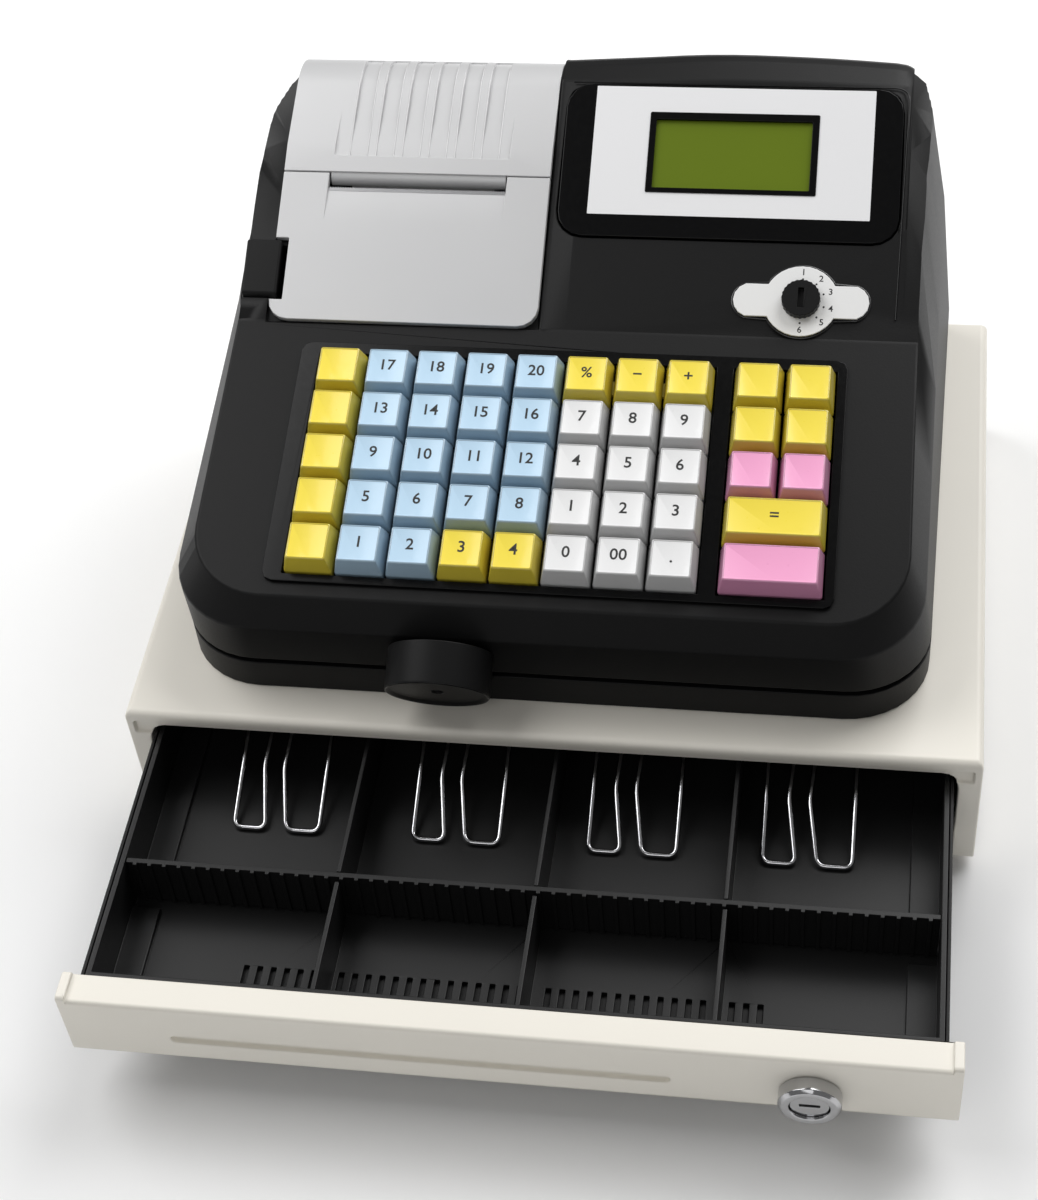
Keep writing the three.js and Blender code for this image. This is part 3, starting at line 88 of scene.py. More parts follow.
floor_mesh = bpy.data.meshes.new("studio_floor")
floor_corners = [(-FLOOR_HALF, -FLOOR_HALF, 0), (FLOOR_HALF, -FLOOR_HALF, 0),
                 (FLOOR_HALF, FLOOR_HALF, 0), (-FLOOR_HALF, FLOOR_HALF, 0)]
floor_mesh.from_pydata(floor_corners, [], [(0, 1, 2, 3)])
floor = bpy.data.objects.new("studio_floor", floor_mesh)
bpy.context.scene.collection.objects.link(floor)
floor_paint, floor_tree, floor_shader = node_tree("studio_white")
floor_shader.inputs["Base Color"].default_value = FLOOR_WHITE
floor_shader.inputs["Roughness"].default_value = FLOOR_ROUGHNESS
floor_shader.inputs["Specular IOR Level"].default_value = FLOOR_SHINE
floor_mesh.materials.append(floor_paint)

world = bpy.data.worlds.new("studio")
bpy.context.scene.world = world
world.use_nodes = True
sky = world.node_tree
sky_light = sky.nodes["Background"]
sky_light.inputs["Color"].default_value = (1, 1, 1, 1)
sky_light.inputs["Strength"].default_value = SKY_GLOW
seen_white = sky.nodes.new("ShaderNodeBackground")
seen_white.inputs["Color"].default_value = (1, 1, 1, 1)
ray = sky.nodes.new("ShaderNodeLightPath")
choose = sky.nodes.new("ShaderNodeMixShader")
sky.links.new(ray.outputs["Is Camera Ray"], choose.inputs["Fac"])
sky.links.new(sky_light.outputs["Background"], choose.inputs[1])
sky.links.new(seen_white.outputs["Background"], choose.inputs[2])
sky.links.new(choose.outputs["Shader"], sky.nodes["World Output"].inputs["Surface"])

for lamp_name, (power, size, place, aim) in LAMPS.items():
    lamp_data = bpy.data.lights.new(lamp_name, "AREA")
    lamp_data.energy = power
    lamp_data.size = size
    lamp = bpy.data.objects.new(lamp_name, lamp_data)
    bpy.context.scene.collection.objects.link(lamp)
    lamp.location = place
    lamp.rotation_mode = "QUATERNION"
    lamp.rotation_quaternion = (Vector(aim) - Vector(place)).to_track_quat("-Z", "Y")

# Drawer case: a cover folded from sheet steel over a base tray of the same steel, sprayed with
# warm white enamel. The folds are round and the enamel has a faint orange peel.
ENAMEL = (0.84, 0.805, 0.725)
DRIFT_SCALE, DRIFT_DETAIL = 22, 2.0
RELIEF_DETAIL = 3
ROUGHNESS_SPREAD = 0.06
COAT_ROUGHNESS = 0.08
MERGE_METRES, FLAT_DEGREES, FOLD_DEGREES = 2e-6, 0.4, 30
BEVEL_STEPS, FACE_WEIGHT = 3, 50


def mixed(tree, low, high):
    """A colour that drifts between low and high with a soft noise over the object's own places."""
    spot = tree.nodes.new("ShaderNodeTexCoord")
    noise = tree.nodes.new("ShaderNodeTexNoise")
    noise.inputs["Scale"].default_value = DRIFT_SCALE
    noise.inputs["Detail"].default_value = DRIFT_DETAIL
    mix = tree.nodes.new("ShaderNodeMix")
    mix.data_type = "RGBA"
    mix.inputs["A"].default_value = (*low, 1)
    mix.inputs["B"].default_value = (*high, 1)
    tree.links.new(spot.outputs["Object"], noise.inputs["Vector"])
    tree.links.new(noise.outputs["Fac"], mix.inputs["Factor"])
    return mix.outputs["Result"]


def finish(name, colour, roughness, grain, relief, drift=0.06, metal=0.0, coat=0.0, shine=0.5):
    """A surface whose colour drifts by the share drift, and whose roughness strays and whose
    relief, in metres, rises with one noise with grains of the given size in metres."""
    material, tree, shader = node_tree(name)
    paler = tuple(min(1.0, part * (1 + drift)) for part in colour)
    darker = tuple(part * (1 - drift) for part in colour)
    tree.links.new(mixed(tree, darker, paler), shader.inputs["Base Color"])
    spot = tree.nodes.new("ShaderNodeTexCoord")
    fine = tree.nodes.new("ShaderNodeTexNoise")
    fine.inputs["Scale"].default_value = 1 / grain
    fine.inputs["Detail"].default_value = RELIEF_DETAIL
    bump = tree.nodes.new("ShaderNodeBump")
    bump.inputs["Distance"].default_value = relief
    stray = tree.nodes.new("ShaderNodeMapRange")
    stray.inputs["To Min"].default_value = roughness - ROUGHNESS_SPREAD
    stray.inputs["To Max"].default_value = roughness + ROUGHNESS_SPREAD
    tree.links.new(spot.outputs["Object"], fine.inputs["Vector"])
    tree.links.new(fine.outputs["Fac"], bump.inputs["Height"])
    tree.links.new(fine.outputs["Fac"], stray.inputs["Value"])
    tree.links.new(stray.outputs["Result"], shader.inputs["Roughness"])
    tree.links.new(bump.outputs["Normal"], shader.inputs["Normal"])
    shader.inputs["Metallic"].default_value = metal
    shader.inputs["Coat Weight"].default_value = coat
    shader.inputs["Coat Roughness"].default_value = COAT_ROUGHNESS
    shader.inputs["Specular IOR Level"].default_value = shine
    return material


def new_piece(name, mesh, materials, body, slot, *stands_for):
    """A piece made of a finished mesh, riding on a body and standing for the named solids."""
    thing = bpy.data.objects.new(name, mesh)
    bpy.context.scene.collection.objects.link(thing)
    for material in materials:
        mesh.materials.append(material)
    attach(thing, body)
    if stands_for:
        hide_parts(*stands_for)
    return thing


def round_edges(thing, width, angle=FOLD_DEGREES):
    """Rounds every edge sharper than angle, in degrees, by width in millimetres, and lets the
    largest faces lead the shading so that flat ones stay flat."""
    bevel = thing.modifiers.new("round_edges", "BEVEL")
    bevel.width = width / 1000
    bevel.segments = BEVEL_STEPS
    bevel.limit_method = "ANGLE"
    bevel.angle_limit = math.radians(angle)
    bevel.use_clamp_overlap = False
    bevel.miter_outer = "MITER_ARC"
    steady = thing.modifiers.new("steady_shading", "WEIGHTED_NORMAL")
    steady.mode = "FACE_AREA"
    steady.weight = FACE_WEIGHT
    steady.keep_sharp = True


def eased(name, material, body, slot, rounding, angle=FOLD_DEGREES):
    """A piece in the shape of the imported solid: a copy of its mesh with its doubles merged, its
    flat faces joined into whole ones, and its edges rounded by so many millimetres."""
    mesh = node[name].data.copy()
    mesh.materials.clear()
    shape = bmesh.new()
    shape.from_mesh(mesh)
    bmesh.ops.remove_doubles(shape, verts=shape.verts, dist=MERGE_METRES)
    bmesh.ops.dissolve_limit(shape, angle_limit=math.radians(FLAT_DEGREES), verts=shape.verts,
                             edges=shape.edges, use_dissolve_boundaries=False)
    shape.to_mesh(mesh)
    shape.free()
    mesh.name = name + "_shape"
    mesh.shade_smooth()
    thing = new_piece(name + "_skin", mesh, [material], body, slot, name)
    round_edges(thing, rounding, angle)
    return thing


enamel = finish("warm_white_enamel", ENAMEL, roughness=0.42, grain=0.0016, relief=0.000012,
                drift=0.02)
eased("case_cover", enamel, "housing", "enamel", rounding=0.7)
eased("case_base", enamel, "housing", "enamel", rounding=0.4)

# Slide rails, release solenoid and feet: two folded shelves carry the drawer's flanges, the
# solenoid behind the drawer lets it go, and four rubber feet are pressed into the base.
rail_steel = finish("blackened_steel", (0.012, 0.012, 0.0125), roughness=0.45, grain=0.0009,
                    relief=0.000006, shine=0.3)
for side in ("left", "right"):
    eased("slide_rail_" + side, rail_steel, "housing", "black_steel", rounding=0.25)
eased("latch_solenoid", rail_steel, "housing", "black_steel", rounding=0.3)
foot_rubber = finish("foot_rubber", (0.03, 0.03, 0.03), roughness=0.85, grain=0.0006,
                     relief=0.00003)
for corner in ("front_left", "front_right", "rear_left", "rear_right"):
    eased("foot_" + corner, foot_rubber, "housing", "rubber", rounding=0.5)

# Drawer: a pan folded from sheet steel and sprayed black, with a flange on each side for the
# rails. The pan is spot welded behind the front panel.
pan_black = finish("black_sprayed_steel", (0.004, 0.004, 0.0042), roughness=0.42, grain=0.0012,
                   relief=0.00001, shine=0.25)
eased("drawer_pan", pan_black, "drawer", "black_steel", rounding=0.3)

# Drawer front: a pressed panel in the same enamel as the case, with a raised lip at each end
# and one long shallow groove pressed into its face.
eased("drawer_front", enamel, "drawer", "enamel", rounding=0.6)

# Till tray: one moulding in black plastic with three fixed dividers, dropped into the pan. A low
# ledge runs along each side of its floor, and drain slots pierce the floor behind its front wall.
tray_black = finish("black_till_plastic", (0.008, 0.008, 0.0082), roughness=0.42, grain=0.0007,
                    relief=0.00002, shine=0.35)
LEDGE_MIDDLE, LEDGE_HALF, LEDGE_LOW, LEDGE_HIGH = 141.6, 5.4, 24.2, 26.4
LEDGE_RUNS = ((-105.5, -64.0), (-53.0, 60.0))
COIN_DIVIDERS, DIVIDER_CLEAR = (-67.5, 4.4, 71.9), 2.4
DRAIN_LEFT, DRAIN_RIGHT, DRAIN_STEP, DRAIN_HALF = -99.0, 88.0, 5.0, 1
DRAIN_FRONT, DRAIN_REAR, DRAIN_LOW, DRAIN_HIGH = -105.4, -84.5, 22, 26
BOX_CORNER, CORNER_STEPS, CREASE_DEGREES = 0.3, 2, 35


def placed(points):
    """Points in millimetres, counted from the drawer case's front plane, as places in metres."""
    return np.asarray(points, float).reshape(-1, 3) * 0.001 + (0, front_y, 0)


def rounded_outline(left, right, front, rear, radius, steps=CORNER_STEPS):
    """Points round a rectangle, anticlockwise from its left front corner: on each corner a
    quarter circle of the radius, split into steps."""
    quarter = np.linspace(0, np.pi / 2, steps + 1)
    starts = np.array([np.pi, 1.5 * np.pi, 2 * np.pi, 2.5 * np.pi])
    angles = (starts[:, None] + quarter[None, :]).ravel()
    middles = np.array([[left + radius, front + radius], [right - radius, front + radius],
                        [right - radius, rear - radius], [left + radius, rear - radius]])
    middles = np.repeat(middles, steps + 1, axis=0)
    return middles + radius * np.stack([np.cos(angles), np.sin(angles)], axis=1)


def tube_faces(rings, around):
    """Quads between neighbouring closed rings of a stack, then one face on each end of it."""
    ring = np.arange(rings - 1)[:, None] * around
    step = np.arange(around)[None, :]
    after = (step + 1) % around
    corners = [ring + step, ring + after, ring + around + after, ring + around + step]
    faces = np.stack(corners, axis=-1).reshape(-1, 4).tolist()
    faces.append(np.arange(around)[::-1].tolist())
    faces.append(((rings - 1) * around + np.arange(around)).tolist())
    return faces


def stacked(outlines, heights):
    """Points of flat outlines stacked at their heights, lowest first."""
    return np.concatenate([np.column_stack([outline, np.full(len(outline), height)])
                           for outline, height in zip(outlines, heights)])


def joined_mesh(name, parts, angle=CREASE_DEGREES):
    """One mesh of several closed surfaces; each part is its points in metres, its faces, and the
    number of its material. Edges sharper than angle, in degrees, stay sharp."""
    points, faces, marks = [], [], []
    for part_points, part_faces, mark in parts:
        first = sum(len(group) for group in points)
        faces += [[first + corner for corner in face] for face in part_faces]
        marks += [mark] * len(part_faces) if np.isscalar(mark) else list(mark)
        points.append(part_points)
    mesh = bpy.data.meshes.new(name)
    mesh.from_pydata(np.concatenate(points).tolist(), [], faces)
    mesh.polygons.foreach_set("material_index", np.array(marks, dtype=np.int32))
    mesh.shade_smooth()
    mesh.set_sharp_from_angle(angle=math.radians(angle))
    mesh.update()
    return mesh


def stepped(thing, boxes, operation):
    """Adds boxes, each (x0, x1, y0, y1, z0, z1) in millimetres, to a piece's mesh or cuts them
    out of it, before its edges are rounded."""
    parts = []
    for x0, x1, y0, y1, z0, z1 in boxes:
        outline = rounded_outline(x0, x1, y0, y1, BOX_CORNER)
        points = placed(stacked([outline, outline], [z0, z1]))
        parts.append((points, tube_faces(2, len(outline)), 0))
    tool = bpy.data.objects.new("tool", joined_mesh("tool", parts))
    plain = bpy.data.objects.new("plain", thing.data)
    for part in (tool, plain):
        bpy.context.scene.collection.objects.link(part)
    change = plain.modifiers.new("change", "BOOLEAN")
    change.operation = operation
    change.object = tool
    change.solver = "EXACT"
    worked_out = plain.evaluated_get(bpy.context.evaluated_depsgraph_get())
    changed = bpy.data.meshes.new_from_object(worked_out)
    for part in (tool, plain):
        bpy.data.objects.remove(part)
    shape = bmesh.new()
    shape.from_mesh(changed)
    bmesh.ops.triangulate(shape, faces=shape.faces)
    shape.to_mesh(changed)
    shape.free()
    changed.name = thing.data.name
    thing.data = changed


tray = eased("till_tray", tray_black, "drawer", "black_plastic", rounding=0.3)
ledges = [(side * LEDGE_MIDDLE - LEDGE_HALF, side * LEDGE_MIDDLE + LEDGE_HALF, front, rear,
           LEDGE_LOW, LEDGE_HIGH) for side in (-1, 1) for front, rear in LEDGE_RUNS]
stepped(tray, ledges, "UNION")
drain_places = [x for x in np.arange(DRAIN_LEFT, DRAIN_RIGHT, DRAIN_STEP)
                if min(abs(x - divider) for divider in COIN_DIVIDERS) > DIVIDER_CLEAR]
drains = [(x - DRAIN_HALF, x + DRAIN_HALF, DRAIN_FRONT, DRAIN_REAR, DRAIN_LOW, DRAIN_HIGH)
          for x in drain_places]
stepped(tray, drains, "DIFFERENCE")

# Cross divider: a loose comb of the same plastic that parts the coins from the notes. Its front
# bears a row of upright teeth.
eased("cross_divider", tray_black, "drawer", "black_plastic", rounding=0.2)

# Clip rod and note clips: one steel rod lies in notches of the tray walls, and four clips of
# bright sprung wire hang on it by their eyes.
clip_chrome = finish("bright_spring_wire", (0.62, 0.62, 0.64), roughness=0.16, grain=0.0004,
                     relief=0.000002, metal=1.0)
eased("clip_rod", clip_chrome, "drawer", "chrome", rounding=0.2)
ROD_BACK, ROD_HEIGHT = 28, 45.4
NOTE_FLOOR, FLOOR_GAP = 24.6, 0.3
CLIP_HALF, CLIP_REACH, CLIP_WIRE = 16.4, 56.0, 1.0
CLIP_FALL = math.asin((ROD_HEIGHT - NOTE_FLOOR - CLIP_WIRE - FLOOR_GAP) / CLIP_REACH)
CLIP_BEND, EYE_RADIUS, EYE_POINTS, CLIP_AROUND = 3.4, 2.8, 25, 12
LEG_PARTS = 2.01
# The wire's corners: shares of the clip's half width and of its reach.
CLIP_SHARES = ((-1.0, 0.02), (-1.0, 1.0), (-0.26, 1.0), (-0.49, 0.55), (-0.38, 0.14),
               (0.1, 0.14), (-0.02, 0.55), (0.22, 1.0), (1.0, 1.0), (1.0, 0.02))


def bent(corners, radius, steps=7):
    """A path through corners, each rounded by the curve (1-t)^2 a + 2t(1-t) c + t^2 b between the
    points a and b that lie the radius, or nearly half a leg, before and after its corner c."""
    corners = np.asarray(corners, float)
    before, middle, after = corners[:-2], corners[1:-1], corners[2:]
    back, ahead = before - middle, after - middle
    long_back = np.linalg.norm(back, axis=1)[:, None]
    long_ahead = np.linalg.norm(ahead, axis=1)[:, None]
    a = middle + back / long_back * np.minimum(radius, long_back / LEG_PARTS)
    b = middle + ahead / long_ahead * np.minimum(radius, long_ahead / LEG_PARTS)
    t = np.linspace(0, 1, steps)[None, :, None]
    curve = (1 - t) ** 2 * a[:, None] + 2 * t * (1 - t) * middle[:, None] + t ** 2 * b[:, None]
    return np.concatenate([corners[:1], curve.reshape(-1, 2), corners[-1:]])


def flat_wire(path, radius, around=8):
    """The surface of a wire along a flat path: rings path + r (n cos a + z sin a), with n the
    path's own side direction."""
    along = np.gradient(path, axis=0)
    along /= np.linalg.norm(along, axis=1)[:, None]
    side = np.stack([along[:, 1], -along[:, 0]], axis=1)
    angles = np.arange(around) * 2 * np.pi / around
    flat = path[:, None] + radius * np.cos(angles)[None, :, None] * side[:, None]
    height = np.broadcast_to(radius * np.sin(angles), flat.shape[:2])
    points = np.concatenate([flat, height[..., None]], axis=2)
    return points.reshape(-1, 3), tube_faces(len(path), around)


clip_corners = [(across * CLIP_HALF, -along * CLIP_REACH) for across, along in CLIP_SHARES]
clip_path = bent(clip_corners, CLIP_BEND)
eye_angles = np.linspace(0, 2 * np.pi, EYE_POINTS)
eye_path = EYE_RADIUS * np.stack([np.cos(eye_angles), np.sin(eye_angles)], axis=1)
for count in range(1, 5):
    clip_name = "bill_clip_%d" % count
    lowest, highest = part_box(clip_name)
    middle_x = (lowest[0] + highest[0]) / 2 * 1000
    wire, wire_faces = flat_wire(clip_path, CLIP_WIRE, CLIP_AROUND)
    across, along, off = wire.T
    fallen = np.stack([across, along * math.cos(CLIP_FALL) - off * math.sin(CLIP_FALL),
                       along * math.sin(CLIP_FALL) + off * math.cos(CLIP_FALL)], axis=1)
    clip_parts = [(placed(fallen + (middle_x, ROD_BACK, ROD_HEIGHT)), wire_faces, 0)]
    for side in (-1, 1):
        loop, loop_faces = flat_wire(eye_path, CLIP_WIRE, CLIP_AROUND)
        upright = np.stack([loop[:, 2] + middle_x + side * CLIP_HALF, loop[:, 0] + ROD_BACK,
                            loop[:, 1] + ROD_HEIGHT], axis=1)
        clip_parts.append((placed(upright), loop_faces, 0))
    clip_mesh = joined_mesh(clip_name + "_shape", clip_parts)
    new_piece(clip_name + "_wire", clip_mesh, [clip_chrome], clip_name, "chrome", clip_name)

# Key lock: a turned and chromed bezel pressed into the front panel, with its barrel inside,
# which turns with the key.
lock_chrome = finish("chromed_lock", (0.5, 0.5, 0.51), roughness=0.1, grain=0.0004,
                     relief=0.000002, metal=1.0)
eased("lock_bezel", lock_chrome, "drawer", "chrome", rounding=0.25)
eased("lock_barrel", lock_chrome, "lock_barrel", "chrome", rounding=0.2)

# Lower case of the register: a shallow tray of black plastic that stands on the drawer case and
# carries the upper case. A narrow gap shows between the two.
case_black = finish("black_case_plastic", (0.0045, 0.0045, 0.0047), roughness=0.46, grain=0.0008,
                    relief=0.00003, shine=0.2)
eased("lower_case", case_black, "housing", "black_plastic", rounding=0.4)

# Upper case: one large moulding, finely textured, from the keyboard deck to the rear crown. Its
# crown is highest over the display and falls to both sides.
BODY_DEGREES, SHARP_DEGREES = 11, 40
upper = eased("upper_case", case_black, "housing", "black_plastic", rounding=0.8,
              angle=BODY_DEGREES)
CROWN_CUTS = (-12.5, -4, 5, 14, 23, 32, 42, 52, 62, 72, 82, 92, 102, 110, 116, 120, 122)
CROWN_PLACES = (-13, 20, 38, 56, 77, 96, 119, 122, 123.4)
CROWN_DROPS = (4.0, 1.8, 0.4, 0.0, 0.5, 1.3, 2.9, 4.4, 5.4)
CUTS_BEHIND, CUT_METRES = 170, 1e-6
DISPLAY_LEFT, DISPLAY_RIGHT, COVERS_LEFT, LEFT_DROP = -15, 122.9, -121.7, 6
CROWN_START, CROWN_RUN = 226, 16
SIDE_START, LEFT_RUN, RIGHT_RUN = 205, 25, 45
CROWN_FOOT, CROWN_RISE = 150, 26
STRIP_RIGHT, STRIP_START, STRIP_FOOT = 122.8, 139, 138
CREST_LEFT, CREST_RIGHT, CREST_START, CREST_FOOT = -118, 119.5, 210, 163
SEAM_MIDDLE, SEAM_HALF = -13, 3.2


def body_places(points):
    """The x, y and z in millimetres, from the drawer case's front plane, of places in metres."""
    return ((points - (0, front_y, 0)) * 1000).T


def ease(start, run, places):
    """The share t t (3 - 2 t), with t growing from 0 at start to 1 a run further on."""
    t = np.clip((places - start) / run, 0, 1)
    return t * t * (3 - 2 * t)


def swept_crown(thing):
    """Lowers the crown beside the display, and the two rear corners, by drop(x) f(y) g(z): drop
    follows its measured places across and is LEFT_DROP left of the covers, and f and g ease in
    towards the rear and upwards, earlier on the two sides than between them."""
    shape = bmesh.new()
    shape.from_mesh(thing.data)
    for x in CROWN_CUTS:
        faces = [face for face in shape.faces
                 if face.calc_center_median().y > front_y + CUTS_BEHIND / 1000]
        edges = {edge for face in faces for edge in face.edges}
        corners = {corner for edge in edges for corner in edge.verts}
        bmesh.ops.bisect_plane(shape, geom=[*corners, *edges, *faces], dist=CUT_METRES,
                               plane_co=(x / 1000, 0, 0), plane_no=(1, 0, 0))
    shape.to_mesh(thing.data)
    shape.free()
    points = np.empty(len(thing.data.vertices) * 3)
    thing.data.vertices.foreach_get("co", points)
    points = points.reshape(-1, 3)
    x, y, z = body_places(points)
    left = x < COVERS_LEFT
    right = x > DISPLAY_RIGHT
    start = np.where(left | right, SIDE_START, CROWN_START)
    run = np.where(left, LEFT_RUN, np.where(right, RIGHT_RUN, CROWN_RUN))
    drop = np.interp(x, CROWN_PLACES, CROWN_DROPS) * (x > DISPLAY_LEFT) + LEFT_DROP * left
    points[:, 2] -= 0.001 * drop * ease(start, run, y) * ease(CROWN_FOOT, CROWN_RISE, z)
    thing.data.vertices.foreach_set("co", points.ravel())
    thing.data.update()


def edge_angles(mesh):
    """The angle in radians between the two faces at each edge, and the place of its middle."""
    count = len(mesh.edges)
    normals = np.empty(len(mesh.polygons) * 3)
    mesh.polygons.foreach_get("normal", normals)
    sizes = np.empty(len(mesh.polygons), dtype=np.int32)
    mesh.polygons.foreach_get("loop_total", sizes)
    edge_of = np.empty(len(mesh.loops), dtype=np.int32)
    mesh.loops.foreach_get("edge_index", edge_of)
    face_of = np.repeat(np.arange(len(sizes)), sizes)
    order = np.argsort(edge_of, kind="stable")
    first = np.searchsorted(edge_of[order], np.arange(count))
    facing = normals.reshape(-1, 3)[face_of[order]]
    second = np.minimum(first + 1, len(order) - 1)
    cosine = np.einsum("ij,ij->i", facing[first], facing[second])
    ends = np.empty(count * 2, dtype=np.int32)
    mesh.edges.foreach_get("vertices", ends)
    points = np.empty(len(mesh.vertices) * 3)
    mesh.vertices.foreach_get("co", points)
    middles = points.reshape(-1, 3)[ends.reshape(-1, 2)].mean(axis=1)
    return np.arccos(np.clip(cosine, -1, 1)), middles


def round_body(thing):
    """Rounds the edges sharper than BODY_DEGREES, except on the lowered strips beside the display
    and the printer and along the crest, whose long thin faces are shaded as one surface."""
    angles, middles = edge_angles(thing.data)
    x, y, z = body_places(middles)
    strips = ((x < COVERS_LEFT) | (x > STRIP_RIGHT)) & (y > STRIP_START) & (z > STRIP_FOOT)
    crest = (x < CREST_LEFT) | (x > CREST_RIGHT) | (abs(x - SEAM_MIDDLE) < SEAM_HALF)
    strips |= crest & (z > CREST_FOOT) & (y > CREST_START)
    weights = ((angles > math.radians(BODY_DEGREES)) & ~strips).astype(np.float32)
    weight = thing.data.attributes.new("bevel_weight_edge", "FLOAT", "EDGE")
    weight.data.foreach_set("value", weights)
    sharp = thing.data.attributes.new("sharp_edge", "BOOLEAN", "EDGE")
    sharp.data.foreach_set("value", strips & (angles > math.radians(SHARP_DEGREES)))
    thing.modifiers["round_edges"].limit_method = "WEIGHT"


swept_crown(upper)
round_body(upper)

# Keyboard bezel and switch plate: a thin glossy frame round the keys, and below it the plate
# in which the key stems slide.
bezel_gloss = finish("gloss_black_frame", (0.002, 0.002, 0.0022), roughness=0.2, grain=0.002,
                     relief=0.000004, shine=0.2)
eased("key_bezel", bezel_gloss, "housing", "gloss_black", rounding=0.25)
eased("switch_plate", case_black, "housing", "black_plastic", rounding=0.3)

# Keys: coated caps with leaning sides and an insert on top, each on a stem. The sides carry painted
# shade, a darker copy of the insert's colour. The keys that move as one are joined by a web under
# their caps. The figures are a thin raised print.
DECK_TILT, DECK_FRONT = math.radians(15.25), (23.0, 105.3)
KEY_PITCH = 19.05
BLOCK_ROWS, BLOCK_COLUMNS, NUMBER_COLUMNS, PAD_ROWS = 5, 8, 4, 3
FIRST_COLUMN, PAD_COLUMN, REAR_ROW = -87.8, 71.5, 94.75
STEM_HALF, STEM_FOOT, STEM_TOP, STEM_CORNER = 2.5, -9.0, -2.0, 0.2
KEY_STEPS = 3
NICK_HALF, NICK_SLANT = 1.1, 0.4
# Half depth, height off the deck, corner radius and depth of the nick at each level of a cap.
CAP_LEVELS = ((8.9, -2.0, 0.9, 0), (9.1, -1.8, 0.9, 0), (9.1, 1.5, 0.9, 0), (9.02, 1.9, 0.9, 0),
              (7.55, 8.75, 0.7, 0), (7.4, 9.12, 0.65, 0), (7.15, 9.3, 0.6, 0),
              (6.95, 9.33, 0.55, 0), (6.82, 9.2, 0.5, 0), (6.72, 9.16, 0.5, 0.45))
WEB_HALF, WEB_CORNER, WEB_HEIGHTS = 3, 0.5, (-2, -0.6)
PRINT_RAISE, PRINT_BOLD_SHARE, PRINT_STEPS = 0.03, 0.012, 3
FIGURE_SIZE, FIGURE_BACK, FIGURE_HEIGHT = 6.4, 0.4, 9.19
# The share of a key's colour left on its sides: the rest is painted shade.
SHADED_SIDE_SHARE = 0.62
KEY_COLOURS = {"yellow": (0.97, 0.78, 0.08), "blue": (0.53, 0.73, 0.90),
               "white": (0.87, 0.87, 0.87), "pink": (0.97, 0.42, 0.67)}


def on_deck(points, start=DECK_FRONT, tilt=DECK_TILT):
    """Points (across, up the deck, off the deck) turned by the deck's tilt and set at its front;
    another start and tilt stand for another leaning face."""
    across, along, off = np.asarray(points, float).reshape(-1, 3).T
    cosine, sine = math.cos(tilt), math.sin(tilt)
    return np.stack([across, start[0] + along * cosine - off * sine,
                     start[1] + along * sine + off * cosine], axis=1)


def key_outline(half, middle, extra, radius, notch):
    """A key's outline at one height, with a nick of the given depth amid its front edge."""
    x, v = middle
    corners = rounded_outline(x - half - extra, x + half + extra, v - half, v + half, radius,
                              KEY_STEPS)
    foot = NICK_HALF + NICK_SLANT
    nick = np.array([[x - foot, v - half], [x - NICK_HALF, v - half + notch],
                     [x + NICK_HALF, v - half + notch], [x + foot, v - half]])
    return np.concatenate([corners[:KEY_STEPS + 1], nick, corners[KEY_STEPS + 1:]])


def key_shape(middle, span):
    """A key from its stem up: the stem, the underside, the skirt, the leaning sides, the rounded
    rim, and the insert that lies a little lower inside it. On a wide key the stem is as wide
    across as on a single one, and deeper."""
    extra = (span - 1) * KEY_PITCH / 2
    stem = [(STEM_HALF - extra, height, STEM_CORNER, 0) for height in (STEM_FOOT, STEM_TOP)]
    levels = [*stem, *CAP_LEVELS]
    outlines = [key_outline(half, middle, extra, radius, notch)
                for half, height, radius, notch in levels]
    points = stacked(outlines, [level[1] for level in levels])
    around = len(outlines[0])
    faces = tube_faces(len(levels), around)
    marks = np.zeros(len(faces), int)
    marks[-1] = 1
    marks[(len(levels) - 2) * around:(len(levels) - 1) * around] = 1
    return placed(on_deck(points)), faces, marks.tolist()


def printed(text, size, middle, height, face=on_deck, mark=2):
    """Figures as a thin raised print: outlines of Blender's own letters, filled, centred at a
    place on a leaning face at the given height."""
    letters = bpy.data.curves.new("figures", "FONT")
    letters.body = text
    letters.size = size
    letters.align_x = "CENTER"
    letters.align_y = "CENTER"
    letters.extrude = PRINT_RAISE
    letters.offset = PRINT_BOLD_SHARE * size
    letters.resolution_u = PRINT_STEPS
    holder = bpy.data.objects.new("figures", letters)
    sheet = bpy.data.meshes.new_from_object(holder)
    bpy.data.objects.remove(holder)
    sheet.calc_loop_triangles()
    points = np.empty(len(sheet.vertices) * 3)
    sheet.vertices.foreach_get("co", points)
    corners = np.empty(len(sheet.loop_triangles) * 3, dtype=np.int32)
    sheet.loop_triangles.foreach_get("vertices", corners)
    bpy.data.meshes.remove(sheet)
    points = points.reshape(-1, 3) + (middle[0], middle[1], height)
    return placed(face(points)), corners.reshape(-1, 3).tolist(), mark


key_ink = finish("key_ink", (0.012, 0.012, 0.012), roughness=0.5, grain=0.001, relief=0.000002)


def key_finishes(colour, top):
    """The three finishes of a key: its coated sides, a darker copy of its top colour as painted
    shade, its insert in the key's full colour, and the ink on it.
    """
    # The sides are the top colour darkened by SHADED_SIDE_SHARE, as painted shade.
    sides = finish(colour + "_key_shaded_side", tuple(part * SHADED_SIDE_SHARE for part in top), roughness=0.16,
                   grain=0.003, relief=0.000004, coat=0.6)
    insert = finish(colour + "_key_insert", top, roughness=0.3, grain=0.0016, relief=0.000006,
                    drift=0.02, coat=0.2)
    return [sides, insert, key_ink]


key_sets = {colour: key_finishes(colour, top) for colour, top in KEY_COLOURS.items()}


def column_place(column):
    """The middle of a key column across the deck: eight in the block, then two in the pad."""
    if column < BLOCK_COLUMNS:
        return FIRST_COLUMN + column * KEY_PITCH
    return PAD_COLUMN + (column - BLOCK_COLUMNS) * KEY_PITCH


